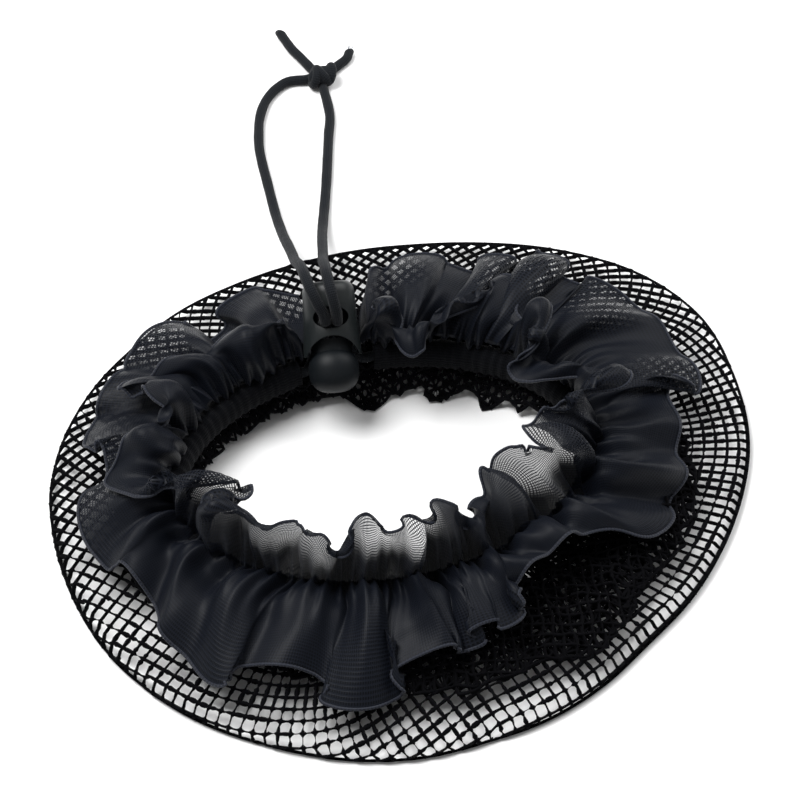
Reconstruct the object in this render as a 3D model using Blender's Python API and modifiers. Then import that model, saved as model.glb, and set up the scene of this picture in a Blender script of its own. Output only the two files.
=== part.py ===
# Drawstring hairnet: a coarse net ring, a gathered ruffle of two frills, the
# casing between them, the drawcord in it, and a cord lock with its knot.
# Metres, +Z up. The rim of the net rests on Z = 0, centred on the origin.

import math

import bmesh
import bpy
from mathutils import Euler, Vector

MM = 0.001

# Clearance that neighbouring pieces keep
GAP = 0.3 * MM

# Outer rim of the net, an oval about the origin
RIM_LONG = 98.2 * MM
RIM_SHORT = 86.1 * MM
RIM_TURN = 35.0

# Line of the casing, an oval about its own centre
CASING_LONG = 56.0 * MM
CASING_SHORT = 40.5 * MM
CASING_TURN = 15.0
CASING_CENTRE = Vector((-5.0, -6.0, 0.0)) * MM
CASING_WIDTH = 6.6 * MM
CASING_HEIGHT = 9.0 * MM
CASING_WALL = 1.0 * MM
CASING_LIFT = 7.5 * MM
CASING_SIDES = 8
CASING_STEPS = 36

# Cloth walls
NET_WALL = 1.0 * MM
FRILL_WALL = 1.0 * MM

# Net: columns and rows of cells, each cell edge crossed by one diamond
NET_COLUMNS = 38
NET_ROWS = 2
NET_STRAND = 2.4 * MM
NET_HEADING = 5.0 * MM
NET_ROLL = 4.4 * MM
NET_POINT = 1.2 * MM

# Rise of the net between casing and rim.
# across: share of the way from casing to rim
# height: share of the net's height under the casing
NET_PROFILE = (
    {"across": 0.00, "height": 1.00},
    {"across": 0.25, "height": 1.10},
    {"across": 0.50, "height": 1.00},
    {"across": 0.75, "height": 0.78},
    {"across": 1.00, "height": 0.54},
)

# Short heading of net that hangs inside the casing, top row first.
# inward: share of NET_HEADING, height: share of the height under the casing
HEADING_ROWS = (
    {"inward": 0.60, "height": 0.78},
    {"inward": 1.00, "height": 0.16},
)

# Rim rolled under itself, top row first.
# inward: share of NET_ROLL, height: share of the rim's own height
ROLL_ROWS = (
    {"inward": 0.06, "height": 0.50},
    {"inward": 0.34, "height": 0.00},
    {"inward": 0.60, "height": 0.00},
    {"inward": 1.00, "height": 0.00},
)

# Widths of the two frills, from the gather line over the casing to the edge
OUTER_FRILL = 34.0 * MM
INNER_FRILL = 21.0 * MM
FRILL_BEND = 0.30
FRILL_COLUMNS = 116
OUTER_BANDS = 4
INNER_BANDS = 3
FRILL_OVER_NET = 1.6 * MM

# Folds of the outer frill, counterclockwise from the cord lock, in degrees.
# root: where the fold leaves the gather line, edge: where it ends
# reach: how far its edge stands out, rise: how high it ends over the gather
# line, swell: how high it heads on the way, all as shares of OUTER_FRILL
OUTER_FOLDS = (
    {"root": 119.5, "edge": 108, "reach": 0.68, "rise": -0.02, "swell": 0.10},
    {"root": 124, "edge": 117, "reach": 0.78, "rise": 0.02, "swell": 0.20},
    {"root": 130, "edge": 127, "reach": 0.85, "rise": 0.00, "swell": 0.36},
    {"root": 137, "edge": 135, "reach": 0.72, "rise": -0.12, "swell": 0.18},
    {"root": 143, "edge": 140, "reach": 0.90, "rise": 0.03, "swell": 0.36},
    {"root": 151, "edge": 150, "reach": 0.95, "rise": -0.04, "swell": 0.36},
    {"root": 160, "edge": 160, "reach": 0.87, "rise": -0.10, "swell": 0.18},
    {"root": 169, "edge": 171, "reach": 0.85, "rise": -0.16, "swell": 0.36},
    {"root": 179, "edge": 179, "reach": 0.56, "rise": -0.06, "swell": 0.18},
    {"root": 190, "edge": 192, "reach": 0.70, "rise": -0.19, "swell": 0.36},
    {"root": 200, "edge": 202, "reach": 0.68, "rise": -0.19, "swell": 0.36},
    {"root": 208, "edge": 209, "reach": 0.52, "rise": -0.10, "swell": 0.18},
    {"root": 217, "edge": 218, "reach": 0.62, "rise": -0.17, "swell": 0.18},
    {"root": 227, "edge": 230, "reach": 0.80, "rise": -0.20, "swell": 0.36},
    {"root": 236, "edge": 238, "reach": 0.92, "rise": -0.24, "swell": 0.36},
    {"root": 244, "edge": 243, "reach": 0.76, "rise": -0.12, "swell": 0.18},
    {"root": 252, "edge": 253, "reach": 0.70, "rise": -0.16, "swell": 0.18},
    {"root": 259, "edge": 261, "reach": 0.91, "rise": -0.26, "swell": 0.36},
    {"root": 268, "edge": 271, "reach": 0.87, "rise": -0.26, "swell": 0.36},
    {"root": 275, "edge": 274, "reach": 0.70, "rise": -0.11, "swell": 0.18},
    {"root": 282, "edge": 283, "reach": 0.62, "rise": -0.06, "swell": 0.18},
    {"root": 289, "edge": 290, "reach": 0.68, "rise": -0.08, "swell": 0.36},
    {"root": 295, "edge": 294, "reach": 0.56, "rise": 0.02, "swell": 0.18},
    {"root": 301, "edge": 301, "reach": 0.65, "rise": 0.02, "swell": 0.36},
    {"root": 308, "edge": 307, "reach": 0.42, "rise": 0.16, "swell": 0.18},
    {"root": 318, "edge": 318, "reach": 0.35, "rise": 0.24, "swell": 0.18},
    {"root": 330, "edge": 331, "reach": 0.36, "rise": 0.14, "swell": 0.18},
    {"root": 340, "edge": 343, "reach": 0.68, "rise": -0.14, "swell": 0.36},
    {"root": 352, "edge": 354, "reach": 0.70, "rise": -0.16, "swell": 0.36},
    {"root": 366, "edge": 368, "reach": 0.66, "rise": -0.10, "swell": 0.18},
    {"root": 374, "edge": 376, "reach": 0.72, "rise": -0.04, "swell": 0.18},
    {"root": 381, "edge": 380, "reach": 1.00, "rise": -0.14, "swell": 0.36},
    {"root": 388, "edge": 388, "reach": 1.04, "rise": -0.10, "swell": 0.28},
    {"root": 396, "edge": 396, "reach": 1.08, "rise": -0.06, "swell": 0.28},
    {"root": 404, "edge": 405, "reach": 1.08, "rise": 0.08, "swell": 0.36},
    {"root": 410, "edge": 410, "reach": 0.86, "rise": 0.04, "swell": 0.18},
    {"root": 416, "edge": 417, "reach": 1.10, "rise": 0.14, "swell": 0.36},
    {"root": 422, "edge": 421, "reach": 0.96, "rise": 0.02, "swell": 0.18},
    {"root": 428, "edge": 427, "reach": 0.98, "rise": 0.03, "swell": 0.36},
    {"root": 435, "edge": 433, "reach": 0.88, "rise": -0.06, "swell": 0.18},
    {"root": 443, "edge": 442, "reach": 0.95, "rise": 0.02, "swell": 0.36},
    {"root": 453, "edge": 452, "reach": 0.92, "rise": -0.02, "swell": 0.24},
    {"root": 460.5, "edge": 458, "reach": 0.66, "rise": -0.01, "swell": 0.10},
)

# Folds of the inner frill, in the same columns as shares of INNER_FRILL.
# A negative reach leans over the opening.
INNER_FOLDS = (
    {"root": 119.5, "edge": 119, "reach": 0.45, "rise": 0.08, "swell": 0.10},
    {"root": 123, "edge": 123, "reach": 0.30, "rise": 0.34, "swell": 0.36},
    {"root": 128, "edge": 128, "reach": 0.24, "rise": 0.52, "swell": 0.72},
    {"root": 138, "edge": 138, "reach": 0.26, "rise": 0.46, "swell": 0.60},
    {"root": 147, "edge": 148, "reach": 0.55, "rise": 0.38, "swell": 0.60},
    {"root": 157, "edge": 158, "reach": 0.80, "rise": 0.33, "swell": 0.60},
    {"root": 164, "edge": 164, "reach": 1.02, "rise": 0.24, "swell": 0.46},
    {"root": 169, "edge": 168, "reach": 0.60, "rise": 0.46, "swell": 0.72},
    {"root": 175, "edge": 174, "reach": 0.25, "rise": 0.53, "swell": 0.72},
    {"root": 182, "edge": 183, "reach": 0.50, "rise": 0.36, "swell": 0.60},
    {"root": 189, "edge": 189, "reach": 0.84, "rise": 0.16, "swell": 0.46},
    {"root": 195, "edge": 195, "reach": 0.50, "rise": 0.30, "swell": 0.46},
    {"root": 200, "edge": 200, "reach": 0.00, "rise": 0.52, "swell": 0.72},
    {"root": 205, "edge": 204, "reach": -0.60, "rise": 0.50, "swell": 0.72},
    {"root": 210, "edge": 209, "reach": -0.76, "rise": 0.36, "swell": 0.46},
    {"root": 216, "edge": 215, "reach": -0.12, "rise": 0.68, "swell": 0.72},
    {"root": 226, "edge": 227, "reach": -0.18, "rise": 0.70, "swell": 0.72},
    {"root": 236, "edge": 236, "reach": -0.25, "rise": 0.63, "swell": 0.46},
    {"root": 244, "edge": 244, "reach": -0.27, "rise": 0.70, "swell": 0.72},
    {"root": 252, "edge": 253, "reach": -0.08, "rise": 0.48, "swell": 0.46},
    {"root": 259, "edge": 259, "reach": -0.24, "rise": 0.76, "swell": 0.72},
    {"root": 268, "edge": 268, "reach": -0.28, "rise": 0.78, "swell": 0.72},
    {"root": 276, "edge": 275, "reach": -0.18, "rise": 0.68, "swell": 0.46},
    {"root": 285, "edge": 285, "reach": -0.25, "rise": 0.76, "swell": 0.72},
    {"root": 293, "edge": 293, "reach": -0.40, "rise": 0.78, "swell": 0.60},
    {"root": 300, "edge": 300, "reach": -0.34, "rise": 0.77, "swell": 0.72},
    {"root": 307, "edge": 306, "reach": -0.22, "rise": 0.54, "swell": 0.46},
    {"root": 317, "edge": 316, "reach": -0.50, "rise": 0.62, "swell": 0.72},
    {"root": 328, "edge": 331, "reach": -0.82, "rise": 0.60, "swell": 0.60},
    {"root": 338, "edge": 341, "reach": -0.82, "rise": 0.61, "swell": 0.46},
    {"root": 347, "edge": 346, "reach": -0.50, "rise": 0.72, "swell": 0.72},
    {"root": 356, "edge": 358, "reach": -0.84, "rise": 0.52, "swell": 0.46},
    {"root": 364, "edge": 365, "reach": -0.78, "rise": 0.52, "swell": 0.46},
    {"root": 370, "edge": 369, "reach": -0.30, "rise": 0.64, "swell": 0.72},
    {"root": 376, "edge": 374, "reach": 0.40, "rise": 0.58, "swell": 0.60},
    {"root": 381, "edge": 379, "reach": 0.00, "rise": 0.50, "swell": 0.72},
    {"root": 387, "edge": 389, "reach": -0.62, "rise": 0.36, "swell": 0.46},
    {"root": 393, "edge": 395, "reach": -0.56, "rise": 0.32, "swell": 0.46},
    {"root": 399, "edge": 398, "reach": -0.20, "rise": 0.60, "swell": 0.72},
    {"root": 405, "edge": 402, "reach": 0.42, "rise": 0.68, "swell": 0.72},
    {"root": 411, "edge": 406, "reach": 0.30, "rise": 0.52, "swell": 0.46},
    {"root": 416, "edge": 412, "reach": 0.40, "rise": 0.42, "swell": 0.46},
    {"root": 421, "edge": 418, "reach": 0.90, "rise": 0.38, "swell": 0.46},
    {"root": 427, "edge": 423, "reach": 0.40, "rise": 0.44, "swell": 0.72},
    {"root": 433, "edge": 430, "reach": -0.30, "rise": 0.38, "swell": 0.72},
    {"root": 440, "edge": 437, "reach": -0.54, "rise": 0.24, "swell": 0.46},
    {"root": 447, "edge": 444, "reach": -0.36, "rise": 0.32, "swell": 0.46},
    {"root": 454, "edge": 451, "reach": 0.10, "rise": 0.46, "swell": 0.72},
    {"root": 458, "edge": 454, "reach": 0.45, "rise": 0.30, "swell": 0.30},
    {"root": 460.5, "edge": 457, "reach": 0.55, "rise": 0.08, "swell": 0.10},
)

# Cord lock: its cross hole stands LOCK_OFFSET from the gather line at LOCK_ROOT.
# Its own Z runs up the barrel, away from the button, and -Y faces the hole.
LOCK_OFFSET = Vector((-0.9, 1.5, 10.7)) * MM
LOCK_SLOPE = 48.0
LOCK_YAW = 5.8
LOCK_ROOT = 110.0
BARREL_WIDTH = 14.4 * MM
BARREL_DEPTH = 12.6 * MM
BARREL_ABOVE = 9.7 * MM
BARREL_BELOW = 10.2 * MM
HOLE_WIDTH = 9.5 * MM
HOLE_LENGTH = 6.0 * MM
STEM_WIDTH = 10.8 * MM
STEM_DEPTH = 7.2 * MM
BUTTON_WIDTH = 13.6 * MM
BUTTON_DEPTH = 12.0 * MM
BUTTON_LENGTH = 12.6 * MM
BUTTON_DROP = 13.9 * MM
ARCH_TOP = 4.9 * MM
PRESS_TRAVEL = 2.5 * MM
LOCK_CLEAR = 0.3 * MM
ARCH_CLEAR = 0.5 * MM
STEM_TIP = 1.6 * MM
LOCK_SIDES = 24
BUTTON_SIDES = 20
BUTTON_RINGS = 12

# Barrel sections from its button end to its top.
# along: share of the barrel's length, width and depth: shares of its sizes
BARREL_SECTIONS = (
    {"along": 0.00, "width": 1.08, "depth": 0.92},
    {"along": 0.10, "width": 1.08, "depth": 1.00},
    {"along": 0.45, "width": 1.01, "depth": 1.00},
    {"along": 0.85, "width": 0.98, "depth": 0.98},
    {"along": 0.95, "width": 0.90, "depth": 0.88},
    {"along": 1.00, "width": 0.72, "depth": 0.66},
)

# Round elastic cord
CORD_DIAMETER = 3.0 * MM
CORD_PITCH = 2.8
CORD_LANE = 1.65 * MM
CORD_EXIT = 10.5 * MM
CORD_SEAT = 0.8 * MM
CORD_RING_POINTS = 30
LEAD_OUT = 0.72
LEAD_SPREAD = 1.2
LEAD_SAG = 0.3
ROUTE_STEPS = 12
KNOT_CENTRE = Vector((-25.9, 163.9, 2.8)) * MM
KNOT_LENGTH = 9.2 * MM
KNOT_WIDTH = 6.4 * MM
KNOT_HEIGHT = 5.6 * MM
KNOT_TURN = 20.0
KNOT_SIDES = 12
KNOT_RINGS = 8

# Routes of the free strands, from the lock over the ruffle to the floor, in mm
LEFT_STRAND = (
    (-21.2, 27.6, 35.7), (-22.4, 27.6, 38.8), (-24.0, 29.2, 41.7), (-25.2, 31.7, 42.9),
    (-26.3, 35.4, 42.7), (-27.3, 40.4, 40.2), (-28.3, 46.5, 35.4), (-29.4, 54.0, 28.8),
    (-30.3, 60.5, 23.4), (-31.3, 67.0, 19.2), (-32.8, 75.0, 14.6), (-34.4, 83.5, 9.4),
    (-35.9, 92.0, 4.8), (-37.7, 100.5, 2.2), (-39.6, 109.5, 1.6), (-41.3, 117.5, 1.6),
    (-42.8, 124.4, 1.6), (-44.0, 131.5, 1.6), (-44.4, 138.4, 1.6), (-44.4, 144.0, 1.6),
    (-43.7, 149.5, 1.6), (-42.2, 154.5, 1.6), (-39.6, 159.0, 1.6), (-36.0, 162.4, 1.6),
)
RIGHT_STRAND = (
    (-17.8, 27.9, 35.7), (-18.3, 28.1, 38.8), (-19.1, 29.7, 41.7), (-19.8, 32.3, 42.9),
    (-20.5, 36.0, 42.7), (-21.0, 41.0, 40.0), (-21.5, 47.0, 35.2), (-22.1, 54.5, 28.6),
    (-22.4, 61.0, 23.2), (-22.7, 67.5, 19.0), (-23.1, 75.5, 14.4), (-23.5, 84.0, 9.2),
    (-23.7, 92.5, 4.7), (-23.6, 101.0, 2.2), (-23.3, 110.0, 1.6), (-23.1, 119.0, 1.6),
    (-23.0, 128.0, 1.6), (-22.9, 137.0, 1.6), (-22.8, 147.0, 1.6),
)
LEFT_TAIL = ((-32.6, 174.0, 1.6), (-35.6, 178.4, 1.6), (-39.2, 185.6, 1.6))
RIGHT_TAIL = ((-20.2, 170.6, 1.6), (-18.0, 173.4, 1.6), (-17.2, 176.6, 1.6))

# Heights that follow from the sizes above
CASING_MIDDLE = CASING_LIFT + CASING_HEIGHT / 2
CASING_TOP = CASING_LIFT + CASING_HEIGHT
NET_CREST = CASING_LIFT - GAP - NET_WALL / 2
GATHER_HEIGHT = CASING_TOP + GAP + FRILL_WALL / 2
FRILL_SPAN = OUTER_FOLDS[-1]["root"] - OUTER_FOLDS[0]["root"]


def oval_radius(long, short, turn, angle):
    across = math.radians(angle - turn)
    return 1.0 / math.hypot(math.cos(across) / long, math.sin(across) / short)


def direction(angle):
    return Vector((math.cos(math.radians(angle)), math.sin(math.radians(angle)), 0.0))


def casing_point(angle, outward=0.0, height=0.0):
    radius = oval_radius(CASING_LONG, CASING_SHORT, CASING_TURN, angle) + outward
    return CASING_CENTRE + direction(angle) * radius + Vector((0.0, 0.0, height))


def casing_normal(angle):
    step = casing_point(angle + 0.5) - casing_point(angle - 0.5)
    return Vector((step.y, -step.x, 0.0)).normalized()


def rim_point(angle, outward=0.0, height=0.0):
    radius = oval_radius(RIM_LONG, RIM_SHORT, RIM_TURN, angle) + outward
    return direction(angle) * radius + Vector((0.0, 0.0, height))


def blend_rows(rows, key, column, place):
    """Read one column of a table at a place, on a smooth curve through its rows."""
    keys = [row[key] for row in rows]
    index = max(0, min(len(rows) - 2, sum(place >= k for k in keys) - 1))
    low, high = rows[index], rows[index + 1]
    before = rows[max(0, index - 1)]
    after = rows[min(len(rows) - 1, index + 2)]
    span = high[key] - low[key]
    share = (place - low[key]) / span
    leave = (high[column] - before[column]) / (high[key] - before[key]) * span
    arrive = (after[column] - low[column]) / (after[key] - low[key]) * span
    square, cube = share * share, share * share * share
    return (
        (2 * cube - 3 * square + 1) * low[column]
        + (cube - 2 * square + share) * leave
        + (3 * square - 2 * cube) * high[column]
        + (cube - square) * arrive
    )


def net_height(across):
    across = max(0.0, min(1.0, across))
    return NET_CREST * blend_rows(NET_PROFILE, "across", "height", across)


def net_height_below(point):
    """Height of the net under a point that lies outside the casing line."""
    flat = Vector((point.x, point.y, 0.0))
    away = flat - CASING_CENTRE
    angle = math.degrees(math.atan2(away.y, away.x))
    start = casing_point(angle)
    width = (rim_point(angle) - start).length
    return net_height((away.length - (start - CASING_CENTRE).length) / width)


def frill_point(folds, width, root, across):
    """A point of a frill that leaves the gather line at root, across of its width out."""
    edge_angle = blend_rows(folds, "root", "edge", root)
    reach = blend_rows(folds, "root", "reach", root)
    rise = blend_rows(folds, "root", "rise", root)
    start = casing_point(root, 0.0, GATHER_HEIGHT)
    end = casing_point(edge_angle, reach * width, GATHER_HEIGHT + rise * width)
    bend = start.lerp(end, FRILL_BEND)
    swell = blend_rows(folds, "root", "swell", root)
    bend.z = GATHER_HEIGHT + (swell + 0.5 * rise) * width
    rest = 1.0 - across
    point = start * rest * rest + bend * 2 * rest * across + end * across * across
    floor = net_height_below(point) + FRILL_OVER_NET
    point.z = max(point.z, floor)
    return point


def smooth_route(points, pitch):
    """Points at an even pitch on a smooth curve through the chosen ones."""
    fine = []
    for i in range(len(points) - 1):
        a = points[max(0, i - 1)]
        b, c = points[i], points[i + 1]
        d = points[min(len(points) - 1, i + 2)]
        for k in range(ROUTE_STEPS):
            t = k / ROUTE_STEPS
            fine.append(
                0.5 * (2 * b + (c - a) * t + (2 * a - 5 * b + 4 * c - d) * t * t
                       + (3 * b - a - 3 * c + d) * t * t * t)
            )
    fine.append(points[-1])
    lengths = [0.0]
    for a, b in zip(fine, fine[1:]):
        lengths.append(lengths[-1] + (b - a).length)
    count = max(2, round(lengths[-1] / pitch))
    even, at = [], 0
    for k in range(count + 1):
        target = lengths[-1] * k / count
        while at < len(lengths) - 2 and lengths[at + 1] < target:
            at += 1
        share = (target - lengths[at]) / (lengths[at + 1] - lengths[at])
        even.append(fine[at].lerp(fine[at + 1], share))
    return even


def make_material(name, color, roughness):
    material = bpy.data.materials.new(name)
    material.use_nodes = True
    shader = material.node_tree.nodes["Principled BSDF"]
    shader.inputs["Base Color"].default_value = (*color, 1.0)
    shader.inputs["Roughness"].default_value = roughness
    shader.inputs["Metallic"].default_value = 0.0
    material.diffuse_color = (*color, 1.0)
    return material


def add_object(name, data, material, collection):
    thing = bpy.data.objects.new(name, data)
    data.materials.append(material)
    collection.objects.link(thing)
    return thing


def add_mesh(name, bm, material, collection):
    mesh = bpy.data.meshes.new(name)
    bm.to_mesh(mesh)
    bm.free()
    return add_object(name, mesh, material, collection)


def add_wall(thing, thickness, offset):
    wall = thing.modifiers.new("wall", "SOLIDIFY")
    wall.thickness = thickness
    wall.offset = offset
    wall.use_even_offset = False
    return wall


def open_tube(sides, steps):
    """An open tube of unit radius along Z, one ring of faces for each step."""
    bm = bmesh.new()
    bmesh.ops.create_circle(bm, cap_ends=False, segments=sides, radius=1.0)
    edges = bm.edges[:]
    for step in range(steps):
        grown = bmesh.ops.extrude_edge_only(bm, edges=edges)["geom"]
        ring = [v for v in grown if isinstance(v, bmesh.types.BMVert)]
        edges = [e for e in grown if isinstance(e, bmesh.types.BMEdge)
                 and e.verts[0] in ring and e.verts[1] in ring]
        bmesh.ops.translate(bm, verts=ring, vec=(0.0, 0.0, 1.0))
    bm.normal_update()
    first = bm.faces[:][0]
    if first.normal.dot(first.calc_center_median()) < 0.0:
        bmesh.ops.reverse_faces(bm, faces=bm.faces)
    return bm


def net_place(angle, level):
    """Place of a net point: below level 0 the heading, past NET_ROWS the rolled rim."""
    if level < -0.1:
        row = HEADING_ROWS[round(-level) - 1]
        tooth = 0.5 * NET_POINT * (1 + math.cos(math.radians(angle * NET_COLUMNS / 2)))
        hang = row["height"] * NET_CREST + tooth * (1.0 - row["height"])
        return casing_point(angle, -row["inward"] * NET_HEADING, hang)
    if level > NET_ROWS + 0.1:
        row = ROLL_ROWS[round(level) - NET_ROWS - 1]
        foot = NET_WALL / 2
        height = foot + row["height"] * (net_height(1.0) - foot)
        return rim_point(angle, -row["inward"] * NET_ROLL, height)
    across = level / NET_ROWS
    point = casing_point(angle).lerp(rim_point(angle), across)
    point.z = net_height(across)
    return point


def make_net(material, collection):
    bm = open_tube(NET_COLUMNS, NET_ROWS + len(HEADING_ROWS) + len(ROLL_ROWS))
    lowest = len(HEADING_ROWS)
    for v in bm.verts:
        v.co.z -= lowest
    cells = [f for f in bm.faces if 0 < f.calc_center_median().z < NET_ROWS]
    crossed = {e for f in cells for e in f.edges if all(g in cells for g in e.link_faces)}
    bmesh.ops.poke(bm, faces=cells)
    bmesh.ops.dissolve_edges(bm, edges=list(crossed), use_verts=False)
    diamonds = [f for f in bm.faces
                if len(f.verts) == 4 and any(abs(v.co.z % 1 - 0.5) < 0.1 for v in f.verts)]
    for v in bm.verts:
        v.co = net_place(math.degrees(math.atan2(v.co.y, v.co.x)), v.co.z)
    bmesh.ops.inset_individual(bm, faces=diamonds, thickness=0.0)
    corner = NET_STRAND / 2 / math.sin(math.radians(45.0))
    for diamond in diamonds:
        middle = diamond.calc_center_median()
        for v in diamond.verts:
            v.co = v.co.lerp(middle, corner / (middle - v.co).length)
    bmesh.ops.delete(bm, geom=diamonds, context="FACES")
    net = add_mesh("net", bm, material, collection)
    add_wall(net, NET_WALL, 0.0)
    return net


def make_casing(material, collection):
    """A cloth tube round the casing line, open at its two ends beside the cord lock."""
    bm = open_tube(CASING_SIDES, CASING_STEPS)
    turn = math.degrees(CORD_EXIT / (casing_point(LOCK_ROOT) - CASING_CENTRE).length)
    last, span = LOCK_ROOT + 360.0 - turn, 360.0 - 2 * turn
    for v in bm.verts:
        angle = last - span * v.co.z / CASING_STEPS
        side = casing_normal(angle) * v.co.x * CASING_WIDTH / 2
        v.co = casing_point(angle, 0.0, CASING_MIDDLE + v.co.y * CASING_HEIGHT / 2) + side
    casing = add_mesh("casing", bm, material, collection)
    add_wall(casing, CASING_WALL, -1.0)
    return casing


def make_ruffle(material, collection):
    """One gathered strip: inner frill, gather line over the casing, outer frill."""
    bands = INNER_BANDS + OUTER_BANDS
    bm = bmesh.new()
    bmesh.ops.create_grid(bm, x_segments=FRILL_COLUMNS, y_segments=bands, size=0.5)
    first = OUTER_FOLDS[0]["root"]
    for v in bm.verts:
        root = first + (v.co.x + 0.5) * FRILL_SPAN
        band = (v.co.y + 0.5) * bands - INNER_BANDS
        if band < 0:
            v.co = frill_point(INNER_FOLDS, INNER_FRILL, root, -band / INNER_BANDS)
        else:
            v.co = frill_point(OUTER_FOLDS, OUTER_FRILL, root, band / OUTER_BANDS)
    ruffle = add_mesh("ruffle", bm, material, collection)
    add_wall(ruffle, FRILL_WALL, 0.0)
    return ruffle


def make_cord(name, points, material, collection):
    route = smooth_route([Vector(p) for p in points], CORD_PITCH * CORD_DIAMETER)
    curve = bpy.data.curves.new(name, "CURVE")
    curve.dimensions = "3D"
    curve.bevel_depth = CORD_DIAMETER / 2
    curve.bevel_resolution = 2
    curve.use_fill_caps = True
    spline = curve.splines.new("POLY")
    spline.points.add(len(route) - 1)
    for knot, place in zip(spline.points, route):
        knot.co = (*place, 1.0)
    return add_object(name, curve, material, collection)


def lock_hole():
    return casing_point(LOCK_ROOT, 0.0, GATHER_HEIGHT) + LOCK_OFFSET


def lock_to_world(x, y, z):
    turn = Euler((math.radians(-LOCK_SLOPE), 0.0, math.radians(LOCK_YAW))).to_matrix()
    return lock_hole() + turn @ Vector((x, y, z))


def drawcord_route():
    """From one lane of the lock's hole, round the casing, back up the other lane."""
    turn = math.degrees(CORD_EXIT / (casing_point(LOCK_ROOT) - CASING_CENTRE).length)
    half = BARREL_DEPTH / 2
    ring = [casing_point(LOCK_ROOT + turn + (360.0 - 2 * turn) * k / CORD_RING_POINTS, 0.0,
                         CASING_MIDDLE) for k in range(CORD_RING_POINTS + 1)]
    ends = []
    for side in (-1, 1):
        top = lock_to_world(side * CORD_LANE, CORD_SEAT - half, 0.0)
        out = lock_to_world(side * CORD_LANE, half, 0.0)
        below = lock_to_world(side * CORD_LANE * LEAD_SPREAD, half + CORD_DIAMETER, 0.0)
        lead = casing_point(LOCK_ROOT - side * turn * LEAD_OUT, 0.0, CASING_MIDDLE)
        rise = below.lerp(lead, 0.5) - Vector((0.0, 0.0, LEAD_SAG * CORD_DIAMETER))
        ends.append([top, top.lerp(out, 0.5), out, below, rise, lead])
    return ends[0] + ring + ends[1][::-1]


def knot_side(toward):
    """Point just clear of the knot, on the side that faces a cord's end."""
    away = Vector((toward.x - KNOT_CENTRE.x, toward.y - KNOT_CENTRE.y, 0.0)).normalized()
    angle = math.degrees(math.atan2(away.y, away.x))
    radius = oval_radius(KNOT_LENGTH / 2, KNOT_WIDTH / 2, KNOT_TURN, angle)
    place = KNOT_CENTRE + away * (radius + GAP)
    place.z = toward.z
    return place


def make_free_cords(material, collection):
    for name, lane, points in (("cord_strand_left", -1, LEFT_STRAND),
                               ("cord_strand_right", 1, RIGHT_STRAND)):
        route = [Vector(p) * MM for p in points]
        start = lock_to_world(lane * CORD_LANE, -BARREL_DEPTH / 2, 0.0)
        make_cord(name, [start] + route + [knot_side(route[-1])], material, collection)
    for name, points in (("cord_tail_left", LEFT_TAIL), ("cord_tail_right", RIGHT_TAIL)):
        route = [Vector(p) * MM for p in points]
        make_cord(name, [knot_side(route[0])] + route, material, collection)


def make_knot(material, collection):
    bm = bmesh.new()
    bmesh.ops.create_uvsphere(bm, u_segments=KNOT_SIDES, v_segments=KNOT_RINGS, radius=0.5)
    bmesh.ops.scale(bm, verts=bm.verts, vec=(KNOT_LENGTH, KNOT_WIDTH, KNOT_HEIGHT))
    knot = add_mesh("cord_knot", bm, material, collection)
    knot.location = KNOT_CENTRE
    knot.rotation_euler.z = math.radians(KNOT_TURN)
    return knot


def oval_prism(rings, sides):
    """A closed solid through oval rings, each a height, a width and a depth."""
    bm = bmesh.new()
    bmesh.ops.create_circle(bm, cap_ends=True, segments=sides, radius=0.5)
    ring, edges = bm.verts[:], bm.edges[:]
    height, width, depth = rings[0]
    bmesh.ops.scale(bm, verts=ring, vec=(width, depth, 1.0))
    bmesh.ops.translate(bm, verts=ring, vec=(0.0, 0.0, height))
    for next_height, next_width, next_depth in rings[1:]:
        grown = bmesh.ops.extrude_edge_only(bm, edges=edges)["geom"]
        ring = [v for v in grown if isinstance(v, bmesh.types.BMVert)]
        edges = [e for e in grown if isinstance(e, bmesh.types.BMEdge)
                 and e.verts[0] in ring and e.verts[1] in ring]
        bmesh.ops.scale(bm, verts=ring, vec=(next_width / width, next_depth / depth, 1.0))
        bmesh.ops.translate(bm, verts=ring, vec=(0.0, 0.0, next_height - height))
        height, width, depth = next_height, next_width, next_depth
    bmesh.ops.contextual_create(bm, geom=edges)
    bmesh.ops.recalc_face_normals(bm, faces=bm.faces)
    return bm


def place_on_lock(thing, frame):
    thing.parent = frame
    return thing


def cut(thing, cutter, operation="DIFFERENCE"):
    cutter.hide_render = True
    cutter.display_type = "WIRE"
    boolean = thing.modifiers.new(cutter.name, "BOOLEAN")
    boolean.operation = operation
    boolean.object = cutter


def through_cutter(name, width, length, middle, material, cutters):
    """A round-ended or oval hole through the lock from front to back."""
    rings = [(-BARREL_DEPTH, width, length), (BARREL_DEPTH, width, length)]
    bm = oval_prism(rings, LOCK_SIDES)
    turn = Euler((math.radians(90.0), 0.0, 0.0)).to_matrix()
    bmesh.ops.rotate(bm, verts=bm.verts, matrix=turn)
    bmesh.ops.translate(bm, verts=bm.verts, vec=(0.0, 0.0, middle))
    return add_mesh(name, bm, material, cutters)


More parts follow.
